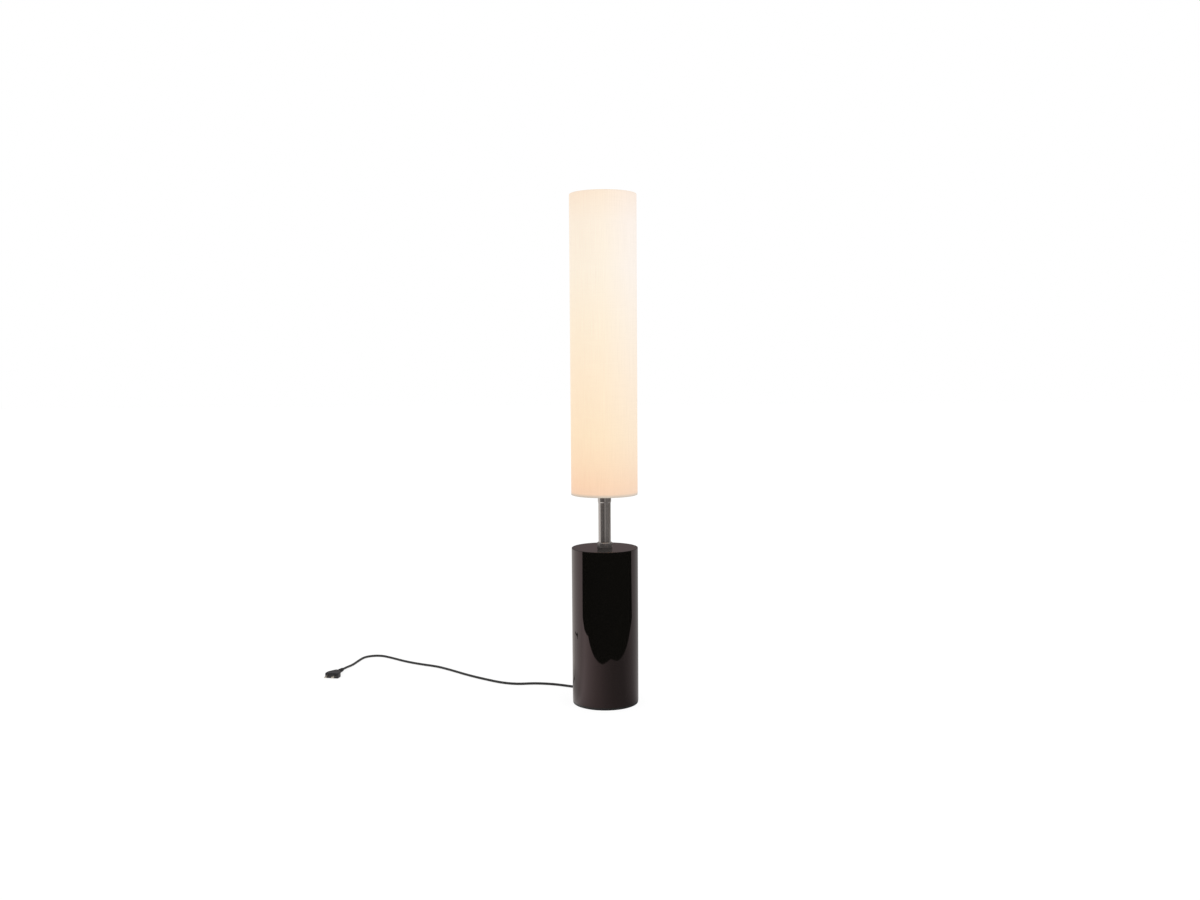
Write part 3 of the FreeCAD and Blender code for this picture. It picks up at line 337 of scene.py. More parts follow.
def sleeve_tree():
    """A tapered sleeve along +Z with raised rings, as moulded round a lead."""
    tree, size, out = new_tree("Ribbed sleeve", [
        ("Length", "Float"), ("Root", "Float"), ("Tip", "Float"), ("Rings", "Int"), ("Ring", "Float"),
        ("Margin", "Float"), ("Material", "Material")])
    round_steps, ring_steps = 48, 10
    core = put(tree, "GeometryNodeMeshCone", {"Vertices": round_steps, "Side Segments": 8,
                                              "Radius Top": size["Tip"], "Radius Bottom": size["Root"],
                                              "Depth": size["Length"]})
    first = put(tree, "ShaderNodeCombineXYZ", {"Z": size["Margin"]})
    far = put(tree, "ShaderNodeMath", {0: size["Length"], 1: size["Margin"]}, operation="SUBTRACT")
    last = put(tree, "ShaderNodeCombineXYZ", {"Z": far})
    row = put(tree, "GeometryNodeMeshLine", {"Count": size["Rings"], "Start Location": first, "Offset": last},
              mode="END_POINTS")
    height = put(tree, "ShaderNodeSeparateXYZ", {0: put(tree, "GeometryNodeInputPosition")}).outputs["Z"]
    girth = put(tree, "ShaderNodeMapRange", {"Value": height, "From Max": size["Length"],
                                             "To Min": size["Root"], "To Max": size["Tip"]})
    hoop = put(tree, "GeometryNodeCurvePrimitiveCircle", {"Resolution": round_steps, "Radius": 1.0},
               mode="RADIUS")
    spread = put(tree, "ShaderNodeCombineXYZ", {"X": girth, "Y": girth, "Z": girth})
    hoops = put(tree, "GeometryNodeInstanceOnPoints", {"Points": row, "Instance": hoop,
                                                       "Scale": spread})
    loose = put(tree, "GeometryNodeRealizeInstances", {0: hoops})
    section = put(tree, "GeometryNodeCurvePrimitiveCircle",
                  {"Resolution": ring_steps, "Radius": size["Ring"]}, mode="RADIUS")
    rings = put(tree, "GeometryNodeCurveToMesh", {"Curve": loose,
                                                  "Profile Curve": section})
    both = put(tree, "GeometryNodeJoinGeometry")
    tree.links.new(core.outputs["Mesh"], both.inputs[0])
    tree.links.new(rings.outputs[0], both.inputs[0])
    return coated_end(tree, both, size["Material"], out)


def knurl_tree():
    """Upright ribs set evenly round an axis."""
    tree, size, out = new_tree("Knurls round a knob", [
        ("Count", "Int"), ("Radius", "Float"), ("Middle", "Float"), ("Rib", "Vector"),
        ("Material", "Material")])
    circle = put(tree, "GeometryNodeMeshCircle", {"Vertices": size["Count"], "Radius": size["Radius"]})
    rib = put(tree, "GeometryNodeMeshCylinder", {"Vertices": 8, "Radius": 1.0, "Depth": 2.0})
    ribs = put(tree, "GeometryNodeInstanceOnPoints", {"Points": circle,
                                                      "Instance": rib.outputs["Mesh"], "Scale": size["Rib"]})
    lift = put(tree, "ShaderNodeCombineXYZ", {"Z": size["Middle"]})
    raised = put(tree, "GeometryNodeTransform", {"Geometry": ribs, "Translation": lift})
    return coated_end(tree, raised, size["Material"], out)


# ---- finishes ----------------------------------------------------------------------------------
FINISHES = {}


def blank(slot, name):
    """A new material for a slot, with its tree, shader and object coordinates."""
    made = bpy.data.materials.new(name)
    made.use_nodes = True
    made.node_tree.nodes.clear()
    tree = made.node_tree
    shader = put(tree, "ShaderNodeBsdfPrincipled")
    put(tree, "ShaderNodeOutputMaterial", {"Surface": shader})
    FINISHES[slot] = made
    return tree, shader, put(tree, "ShaderNodeTexCoord").outputs


def grained(slot, name, hexes, rough, grain, bump, metal=0.0):
    """A finish whose tone, gloss and height vary with its real grain, given in mm."""
    tree, shader, where = blank(slot, name)
    grains = put(tree, "ShaderNodeTexNoise", {"Vector": where["Object"], "Scale": 1 / (grain * MM),
                                              "Detail": 4.0, "Roughness": 0.6})
    tone = put(tree, "ShaderNodeValToRGB", {0: grains}, stops=[(0.3, hexes[0]), (0.7, hexes[1])])
    gloss = put(tree, "ShaderNodeMapRange", {"Value": grains, "To Min": rough[0], "To Max": rough[1]})
    relief = put(tree, "ShaderNodeBump", {"Height": grains, "Distance": bump * MM, "Strength": 0.8})
    fill(tree, shader, {"Metallic": metal, "IOR": 1.5, "Base Color": tone, "Roughness": gloss,
                        "Normal": relief})


def make_finishes(colours, sizes):
    """Every slot's finish."""
    # moulded rubber: matt, with the fine pits of its mould
    grained("pad_rubber", "Moulded EPDM rubber", ("#171718", "#232324"), (0.7, 0.85), 0.5, 0.06)
    # powder coat on steel: a satin black with a slight orange peel
    grained("plate_steel", "Powder coated steel plate", ("#141414", "#1d1d1e"), (0.4, 0.5), 1.2, 0.02)
    # sand casting: dark grey, coarse and dry
    grained("cast_iron", "Sand cast iron", ("#37383a", "#4c4d4f"), (0.6, 0.8), 1.6, 0.25, 0.7)
    # zinc plate: bright blue-white metal with faint spangle
    grained("zinc_steel", "Zinc plated turned steel", ("#b9bdc2", "#cfd3d6"), (0.22, 0.34), 1.5, 0.004, 1.0)
    # ABS with a spark-eroded mould finish: fine even sparkle on black
    grained("black_plastic", "Moulded textured ABS", (colours.plastic, "#242427"), (0.42, 0.55), 0.35, 0.03)
    # the button's face is polished more than its housing
    grained("button_plastic", "Moulded polished ABS", ("#222225", "#2a2a2e"), (0.22, 0.3), 0.8, 0.004)
    # extruded PVC: near black with a soft, slightly uneven sheen
    grained("cord_sheath", "Extruded PVC sheath", (colours.sheath, "#2b2b2c"), (0.5, 0.6), 1.1, 0.02)
    # PBT lampholders and ties: white with a low satin gloss
    grained("white_plastic", "Moulded white PBT", ("#e2dfd7", "#ece9e1"), (0.35, 0.45), 0.6, 0.01)
    # brass: warm yellow metal, a little duller in places
    grained("brass", "Drawn brass", ("#b08d4c", "#c4a25f"), (0.25, 0.38), 0.8, 0.006, 1.0)
    # nickel over turned brass: bright and slightly warm
    grained("pin_brass", "Nickel plated brass pins", ("#c8c2b4", "#d8d3c6"), (0.18, 0.28), 0.7, 0.004, 1.0)
    # silicone sleeving: milky, soft sheen
    grained("lead_sheath", "Silicone sleeving", ("#d6d0c4", "#e2ddd2"), (0.5, 0.62), 0.9, 0.01)
    # baked enamel on wire and sheet: white, slightly uneven film
    grained("white_steel", "Baked white enamel", ("#e6e4de", "#efede8"), (0.28, 0.4), 2.5, 0.02)
    # silicone tips: pale grey with a soft sheen
    grained("tip_rubber", "Moulded silicone rubber", ("#cfcdc6", "#dad8d2"), (0.5, 0.6), 0.6, 0.02)
    # rolled aluminium: pale grey metal with a soft shine
    grained("bulb_cap_metal", "Rolled aluminium cap", ("#bfc0c1", "#d3d4d5"), (0.25, 0.38), 0.9, 0.01, 1.0)
    lacquer_finish(colours)
    nickel_finish(colours)
    opal_finish()
    cloth_finish(colours, sizes)
    liner_finish()


def lacquer_finish(colours):
    """Sprayed and polished lacquer on spun steel: a deep brown-black mirror, very faint orange peel."""
    tree, shader, where = blank("base_lacquer", "Polished brown-black lacquer")
    # orange peel 9 mm wide, and clouds of polish 60 mm wide
    peel, haze = [put(tree, "ShaderNodeTexNoise", {"Vector": where["Object"], "Scale": 1 / (wide * MM),
                                                   "Detail": detail}) for wide, detail in ((9, 2), (60, 3))]
    gloss = put(tree, "ShaderNodeMapRange", {"Value": haze, "To Min": 0.015, "To Max": 0.05})
    relief = put(tree, "ShaderNodeBump", {"Height": peel, "Distance": 0.004 * MM, "Strength": 1.0})
    fill(tree, shader, {"IOR": 1.6, "Specular Tint": linear("#ffdee0"), "Roughness": gloss,
                        "Base Color": linear(colours.lacquer), "Normal": relief})


def nickel_finish(colours):
    """Black nickel plate on turned and polished steel: a dark mirror with faint lines round the axis."""
    tree, shader, where = blank("dark_nickel", "Polished dark nickel plate")
    # polishing lines every 0.4 mm up the piece, drawn out round it
    rings = put(tree, "ShaderNodeMapping", {"Vector": where["Object"],
                                            "Scale": (0.02, 0.02, 1.0)})
    lines = put(tree, "ShaderNodeTexNoise", {"Vector": rings, "Scale": 1 / (0.4 * MM), "Detail": 3.0})
    gloss = put(tree, "ShaderNodeMapRange", {"Value": lines, "To Min": 0.05, "To Max": 0.11})
    relief = put(tree, "ShaderNodeBump", {"Height": lines, "Distance": 0.0006 * MM, "Strength": 1.0})
    # the collar at the foot is only brushed, so it's duller than the tube
    duller = 0.24
    height = put(tree, "ShaderNodeSeparateXYZ", {0: where["Object"]}).outputs["Z"]
    collar = put(tree, "ShaderNodeMath", {0: height, 1: COLLAR_HIGH.z}, operation="LESS_THAN")
    sheen = put(tree, "ShaderNodeMath", {0: collar, 1: duller, 2: gloss},
                operation="MULTIPLY_ADD")
    fill(tree, shader, {"Metallic": 0.94, "Base Color": linear(colours.nickel), "Roughness": sheen,
                        "Normal": relief})


def opal_finish():
    """Blown opal glass of a lit bulb: a warm glow with faint clouds."""
    tree, shader, where = blank("opal_glass", "Blown opal glass")
    cloud = put(tree, "ShaderNodeTexNoise", {"Vector": where["Object"], "Scale": 1 / (12 * MM),
                                             "Detail": 2.0})
    glow = put(tree, "ShaderNodeValToRGB", {0: cloud}, stops=[(0.3, "#ffdfb4"), (0.7, "#ffecd0")])
    fill(tree, shader, {"IOR": 1.52, "Roughness": 0.12, "Base Color": linear("#9a948a"),
                        "Emission Color": glow, "Emission Strength": 0.55})


def cloth_finish(colours, sizes):
    """Plain-woven polycotton laid on film: matt, faint slubs and threads, with the light of two bulbs through
    it painted on as glow.
    """
    tree, shader, where = blank("shade_fabric", "Woven polycotton shade cloth")
    across = put(tree, "ShaderNodeSeparateXYZ", {0: where["UV"]}).outputs
    # warp slubs: 1.6 mm wide and 90 mm long, coarser than the real threads so that they show
    warp = put(tree, "ShaderNodeMapping", {"Vector": where["UV"],
                                           "Scale": (1 / (1.6 * MM), 1 / (90 * MM), 1.0)})
    slubs = put(tree, "ShaderNodeTexNoise", {"Vector": warp, "Scale": 1.0, "Detail": 3.0,
                                             "Roughness": 0.65})
    # weft threads, fainter: 2.2 mm wide and 60 mm long
    weft = put(tree, "ShaderNodeMapping", {"Vector": where["UV"],
                                           "Scale": (1 / (60 * MM), 1 / (2.2 * MM), 1.0)})
    picks = put(tree, "ShaderNodeTexNoise", {"Vector": weft, "Scale": 1.0,
                                             "Detail": 2.0})
    # the weave itself: threads crossing at their real spacing, in the height only
    turn = math.tau / sizes.thread
    turns = [put(tree, "ShaderNodeMath", {0: across[axis], 1: turn}, operation="MULTIPLY") for axis in "XY"]
    over, under = [put(tree, "ShaderNodeMath", {0: angle}, operation="SINE") for angle in turns]
    weave = put(tree, "ShaderNodeMath", {0: over, 1: under}, operation="MULTIPLY")
    weft_share, weave_share = 0.35, 0.3
    threads = put(tree, "ShaderNodeMath", {0: picks, 1: weft_share, 2: slubs},
                  operation="MULTIPLY_ADD")
    height = put(tree, "ShaderNodeMath", {0: weave, 1: weave_share, 2: threads},
                 operation="MULTIPLY_ADD")
    relief = put(tree, "ShaderNodeBump", {"Height": height, "Distance": 0.05 * MM, "Strength": 0.7})
    shade = put(tree, "ShaderNodeMapRange", {"Value": threads, "From Min": 0.4, "From Max": 0.95,
                                             "To Min": 0.96, "To Max": 1.04})
    body = put(tree, "ShaderNodeMix", {0: 1.0, 6: linear(colours.cloth), 7: shade}, data_type="RGBA",
               blend_type="MULTIPLY")
    # painted glow for the light through the cloth: whitest beside the upper bulb, deeper and warmer towards
    # the lower edge, with painted shade over the lowest 5 mm, where the wire ring is, and a thin painted
    # shade at the top edge
    spot = put(tree, "ShaderNodeSeparateXYZ", {0: where["Object"]}).outputs
    level = put(tree, "ShaderNodeMapRange", {"Value": spot["Z"], "From Min": SHADE_LOW.z,
                                             "From Max": SHADE_HIGH.z})
    glow = put(tree, "ShaderNodeValToRGB", {0: level}, stops=[
        (0.0, "#5e5046"), (0.0068, "#5e5046"), (0.0085, colours.glow_low), (0.04, "#ae7d4f"),
        (0.11, "#b18c62"), (0.2, "#b29771"), (0.38, "#b39e82"), (0.55, "#b2a48f"),
        (0.75, colours.glow_high), (0.9, "#b0a69b"), (0.995, "#af9c8b"), (1.0, "#9c8b7d")])
    lit = put(tree, "ShaderNodeMix", {0: 1.0, 6: glow, 7: shade}, data_type="RGBA",
              blend_type="MULTIPLY")
    # painted light on the glow: the side of the upper bulb is paler, the other side a little deeper
    half = 0.07
    side = put(tree, "ShaderNodeMapRange", {"Value": spot["X"], "From Min": -half, "From Max": half})
    side_lighting = put(tree, "ShaderNodeValToRGB", {0: side},
                stops=[(0.05, "#f7f3ee"), (0.5, "#f0f0f0"), (0.9, "#e7ecfe")])
    glowing = put(tree, "ShaderNodeMix", {0: 1.0, 6: lit.outputs[2], 7: side_lighting}, data_type="RGBA",
                  blend_type="MULTIPLY")
    fill(tree, shader, {"IOR": 1.45, "Roughness": 0.92, "Sheen Weight": 0.15, "Sheen Roughness": 0.5,
                        "Base Color": body.outputs[2], "Emission Color": glowing.outputs[2],
                        "Emission Strength": 1.15, "Normal": relief})


def liner_finish():
    """Calendered PVC film behind the cloth: smooth white, glowing with the bulbs' light."""
    tree, shader, where = blank("shade_liner", "Calendered PVC film")
    film = put(tree, "ShaderNodeTexNoise", {"Vector": where["Object"], "Scale": 1 / (30 * MM),
                                            "Detail": 2.0})
    tone = put(tree, "ShaderNodeValToRGB", {0: film}, stops=[(0.3, "#d9d3c8"), (0.7, "#e1dcd2")])
    spot = put(tree, "ShaderNodeSeparateXYZ", {0: where["Object"]}).outputs
    level = put(tree, "ShaderNodeMapRange", {"Value": spot["Z"], "From Min": SHADE_LOW.z,
                                             "From Max": SHADE_HIGH.z})
    glow = put(tree, "ShaderNodeValToRGB", {0: level}, stops=[
        (0.0, "#b58a60"), (0.3, "#d8b48a"), (0.8, "#dcc4a6"), (1.0, "#bfa487")])
    fill(tree, shader, {"IOR": 1.53, "Roughness": 0.45, "Base Color": tone, "Emission Color": glow,
                        "Emission Strength": 0.6})


# ---- operators ---------------------------------------------------------------------------------
class LAMP_OT_view(bpy.types.Operator):
    """Place the camera where the photograph was taken"""

    bl_idname = "lamp.view"
    bl_label = "View"

    def execute(self, context):
        view = context.scene.lamp_view
        level = Vector((math.cos(view.yaw), -math.sin(view.yaw), 0))
        ahead = Vector((math.sin(view.yaw), math.cos(view.yaw), 0))
        way = math.cos(view.pitch) * ahead - math.sin(view.pitch) * UP
        top = math.sin(view.pitch) * ahead + math.cos(view.pitch) * UP
        right = math.cos(view.roll) * level - math.sin(view.roll) * top
        above = math.cos(view.roll) * top + math.sin(view.roll) * level
        camera = bpy.data.objects.new("photo_view", bpy.data.cameras.new("photo_view"))
        camera.data.sensor_width = 36.0
        camera.data.lens = view.focal
        camera.data.clip_end = 60.0
        context.scene.collection.objects.link(camera)
        turn = Matrix((right, above, -way)).transposed().to_4x4()
        camera.matrix_world = Matrix.Translation(view.place) @ turn
        context.scene.camera = camera
        return {"FINISHED"}


def stage_card(name, corners, level):
    """A flat stage piece on the floor that only shows in glossy surfaces."""
    mesh = bpy.data.meshes.new(name)
    mesh.from_pydata([(x, y, level) for x, y in corners], [], [list(range(len(corners)))])
    card = bpy.data.objects.new(name, mesh)
    bpy.context.scene.collection.objects.link(card)
    card.visible_camera = False
    card.visible_diffuse = False
    card.visible_shadow = False
    card.visible_transmission = False
    return card


def stage_material(name):
    """A new material for the stage, and its empty tree."""
    made = bpy.data.materials.new(name)
    made.use_nodes = True
    made.node_tree.nodes.clear()
    return made, made.node_tree


def toned(card, name, stops):
    """Make a stage card glow in tones round the lamp; returned with its tree and coordinates."""
    made, tree = stage_material(name)
    place = put(tree, "ShaderNodeTexCoord").outputs["Object"]
    wheel = put(tree, "ShaderNodeTexGradient", {0: place}, gradient_type="RADIAL")
    tone = put(tree, "ShaderNodeValToRGB", {0: wheel}, stops=stops)
    lit = put(tree, "ShaderNodeEmission", {"Color": tone, "Strength": 1.0})
    put(tree, "ShaderNodeOutputMaterial", {"Surface": lit})
    card.data.materials.append(made)
    return lit, tree, place


class LAMP_OT_stage(bpy.types.Operator):
    """Make the pale floor, the soft light and what the gloss reflects"""

    bl_idname = "lamp.stage"
    bl_label = "Stage"

    def execute(self, context):
        half, level = 20.0, -0.2 * MM
        mesh = bpy.data.meshes.new("studio_floor")
        corners = [(-half, -half), (half, -half), (half, half), (-half, half)]
        mesh.from_pydata([(x, y, level) for x, y in corners], [], [(0, 1, 2, 3)])
        floor = bpy.data.objects.new("studio_floor", mesh)
        context.scene.collection.objects.link(floor)
        floor.visible_glossy = False
        # matt white paper: the camera sees it white but for the lamp's faint shadow
        paper, tree = stage_material("White paper sweep")
        matt = put(tree, "ShaderNodeBsdfDiffuse", {"Color": linear("#e8e8e8")})
        faint = put(tree, "ShaderNodeBsdfDiffuse", {"Color": linear("#707070")})
        glow = put(tree, "ShaderNodeEmission", {"Color": linear("#ffffff"), "Strength": 0.87})
        seen = put(tree, "ShaderNodeAddShader", {0: faint, 1: glow})
        ray = put(tree, "ShaderNodeLightPath").outputs
        both = put(tree, "ShaderNodeMixShader", {0: ray["Is Camera Ray"], 1: matt, 2: seen})
        put(tree, "ShaderNodeOutputMaterial", {"Surface": both})
        mesh.materials.append(paper)

        # the sweep as the lacquer mirrors it: its front edge from left to right, then round its back;
        # it's bright to the left and dimmer to the right, and past its front edge the lacquer stays dark
        sweep = stage_card("sweep_mirrored", [
            (-6.0, -0.6), (-2.3, -0.27), (-1.5, -0.17), (-1.0, -0.13), (-0.81, -0.23), (-0.66, -0.395),
            (-0.4, -0.433), (-0.24, -0.456), (-0.09, -0.47), (0.02, -0.498), (0.1, -0.508), (0.17, -0.506),
            (0.245, -0.453), (0.34, -0.377), (0.43, -0.316), (0.605, -0.173), (0.785, 0.0), (0.875, 0.115),
            (0.95, 0.23), (1.5, 0.355), (2.6, 0.6), (2.6, 6.0), (-6.0, 6.0)], 0.1 * MM)
        # the tones run from the left (0) by the front (0.25) and the right (0.5) to the back (0.75)
        lit, tree, place = toned(sweep, "Sweep in reflections", [
            (0.0, "#dedad7"), (0.05, "#fcfaf8"), (0.11, "#dddad8"), (0.18, "#b8b3b1"), (0.25, "#959190"),
            (0.31, "#807d7c"), (0.4, "#797777"), (0.55, "#a9a6a5"), (0.63, "#aaa7a6"), (0.75, "#858382"),
            (0.86, "#d9d4cf"), (0.97, "#e6e2df")])
        # the floor in the lamp's own shade, close behind it on the left
        spot = put(tree, "ShaderNodeMapping", {0: place, "Location": (0.16, -0.14, 0.0)},
                   vector_type="POINT")
        away = put(tree, "ShaderNodeVectorMath", {0: spot}, operation="LENGTH").outputs["Value"]
        strength = put(tree, "ShaderNodeMapRange", {"Value": away, "From Min": 0.02, "From Max": 0.24,
                                                    "To Min": 0.72, "To Max": 1.25},
                       interpolation_type="SMOOTHSTEP")
        fill(tree, lit, {"Strength": strength})

        # the far room, which the stem mirrors
        outer, inner, steps = 9.0, 2.4, 48
        fan = [(math.sin(a) * r, -math.cos(a) * r) for r, way in ((outer, 1), (inner, -1))
               for a in [way * math.pi * (2 * i / steps - 1) for i in range(steps + 1)]]
        room = stage_card("room_mirrored", fan, -0.1 * MM)
        toned(room, "Room in reflections", [
            (0.0, "#8a8583"), (0.05, "#817c7a"), (0.1, "#757170"), (0.155, "#6a6665"), (0.185, "#5e5b5a"),
            (0.245, "#6e6b6a"), (0.28, "#c6c2c0"), (0.305, "#7c7978"), (0.38, "#858281"), (0.45, "#84807f"),
            (0.52, "#76726f"), (0.75, "#c8c5c3"), (0.87, "#d8d5d3"), (0.97, "#cdcac8")])

        world = bpy.data.worlds.new("studio")
        world.use_nodes = True
        world.node_tree.nodes.clear()
        context.scene.world = world
        tree = world.node_tree
        ray = put(tree, "ShaderNodeLightPath").outputs
        heading = put(tree, "ShaderNodeTexCoord").outputs["Generated"]
        rise = put(tree, "ShaderNodeSeparateXYZ", {0: heading}).outputs["Z"]
        wheel = put(tree, "ShaderNodeTexGradient", {0: heading}, gradient_type="RADIAL")
        # gloss sees a dim room, a little lighter straight behind, and a soft white ceiling
        wall = put(tree, "ShaderNodeValToRGB", {0: wheel}, stops=[
            (0.0, "#5c5857"), (0.25, "#4a4645"), (0.5, "#5c5857"), (0.735, "#786c6c"), (0.765, "#786c6c"),
            (0.8, "#5c5857")])
        ceiling = put(tree, "ShaderNodeMapRange", {"Value": rise, "From Min": 0.2, "From Max": 0.8})
        dome = put(tree, "ShaderNodeMix", {0: ceiling, 6: wall, 7: linear("#f4f3f2")}, data_type="RGBA")
        above = put(tree, "ShaderNodeMath", {0: rise, 1: 0.0}, operation="GREATER_THAN")
        soft = put(tree, "ShaderNodeBackground", {"Color": linear("#ffffff"), "Strength": 1.0})
        mirrored = put(tree, "ShaderNodeBackground", {"Color": dome.outputs[2], "Strength": above})
        sky = put(tree, "ShaderNodeMixShader", {0: ray["Is Glossy Ray"], 1: soft, 2: mirrored})
        put(tree, "ShaderNodeOutputWorld", {"Surface": sky})

        # a large soft light, high in front on the right
        key = bpy.data.lights.new("soft_key", "AREA")
        key.shape = "DISK"
        key.size = 1.8
        key.energy = 12.0
        lamp = bpy.data.objects.new("soft_key", key)
        context.scene.collection.objects.link(lamp)
        place, goal = Vector((1.9, -1.6, 2.3)), Vector((0, 0, 0.6))
        turn = (goal - place).to_track_quat("-Z", "Y").to_matrix().to_4x4()
        lamp.matrix_world = Matrix.Translation(place) @ turn
        lamp.visible_glossy = False
        lamp.visible_camera = False
        context.scene.view_settings.view_transform = "Standard"
        return {"FINISHED"}


# ---- the lead: its route's points, as in the part's source, in metres ---------------------------
LEAD_ROUTE = [
    (0.0, 0.104, 0.020), (0.0, 0.125, 0.018), (0.004, 0.147, 0.010), (0.015, 0.171, 0.003),
    (0.030, 0.195, 0.008), (0.030, 0.218, 0.008),
]
LINK_ROUTE = [(0.030, 0.304, 0.008), (0.030, 0.326, 0.008), (0.0315, 0.349, 0.004), (0.03385, 0.369, 0.003)]
COIL_MIDDLE = (-0.008, 0.395, 0.003)
COIL_INNER = 0.028
COIL_PITCH = 0.0066
COIL_TURNS = 2
COIL_POINTS = 16
RUN_ROUTE = [
    (-0.0506, 0.368, 0.009), (-0.0515, 0.345, 0.005), (-0.0505, 0.318, 0.003), (-0.049, 0.284, 0.003),
    (-0.043, 0.248, 0.003), (-0.031, 0.212, 0.003), (-0.020, 0.180, 0.003), (-0.016, 0.148, 0.003),
    (-0.027, 0.115, 0.003), (-0.060, 0.102, 0.003), (-0.092, 0.1195, 0.003), (-0.128, 0.136, 0.003),
    (-0.172, 0.1435, 0.003), (-0.212, 0.1365, 0.003), (-0.250, 0.149, 0.003), (-0.292, 0.180, 0.003),
    (-0.340, 0.220, 0.003), (-0.386, 0.267, 0.003), (-0.428, 0.306, 0.003), (-0.478, 0.331, 0.003),
    (-0.522, 0.361, 0.003), (-0.560, 0.396, 0.003), (-0.597, 0.425, 0.003), (-0.634, 0.412, 0.003),
    (-0.643, 0.368, 0.003), (-0.649, 0.326, 0.003), (-0.657, 0.290, 0.00625), (-0.662, 0.268, 0.00685),
]


def coil_route():
    """The coil: in by two turns on the floor, half a turn up, and out by two turns on top."""
    step = math.tau / COIL_POINTS
    rate = COIL_PITCH / math.tau
    layer = math.tau * COIL_TURNS
    swell = 1 / math.cos(step / 2)
    route = []
    for i in range(COIL_POINTS * COIL_TURNS * 2 + COIL_POINTS // 2 + 1):
        a = i * step
        if a <= layer:
            r, rise = COIL_INNER + COIL_PITCH * COIL_TURNS - rate * a, 0.0
        elif a <= layer + math.pi:
            u = a - layer
            r, rise = COIL_INNER - rate * (u - u * u / math.pi), COIL_PITCH * (1 - math.cos(u)) / 2
        else:
            r, rise = COIL_INNER + rate * (a - layer - math.pi), COIL_PITCH
        route.append((COIL_MIDDLE[0] + swell * r * math.cos(a), COIL_MIDDLE[1] + swell * r * math.sin(a),
                      COIL_MIDDLE[2] + rise))
    return route


def lead(name, route, thick, *nodes):
    """A lead as one smooth NURBS line through its route, with a round sheath."""
    curve = bpy.data.curves.new(name, "CURVE")
    curve.dimensions = "3D"
    spline = curve.splines.new("NURBS")
    spline.points.add(len(route) - 1)
    for point, place in zip(spline.points, route):
        point.co = (*place, 1.0)
    spline.order_u = 3
    spline.use_endpoint_u = True
    spline.resolution_u = 6
    curve.bevel_depth = thick / 2
    curve.bevel_resolution = 3
    curve.use_fill_caps = True
    curve.materials.append(FINISHES["cord_sheath"])
    made = bpy.data.objects.new(name, curve)
    bpy.context.scene.collection.objects.link(made)
    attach(made, "lamp")
    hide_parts(*nodes)
    return made


def plug_place():
    """Where the plug lies: +Z along its pins from the end of the lead."""
    end, before = Vector(RUN_ROUTE[-1]), Vector(RUN_ROUTE[-2])
    way = Vector((end.x - before.x, end.y - before.y, 0)).normalized()
    return Matrix.Translation(end) @ Matrix((UP, way.cross(UP), way)).transposed().to_4x4()


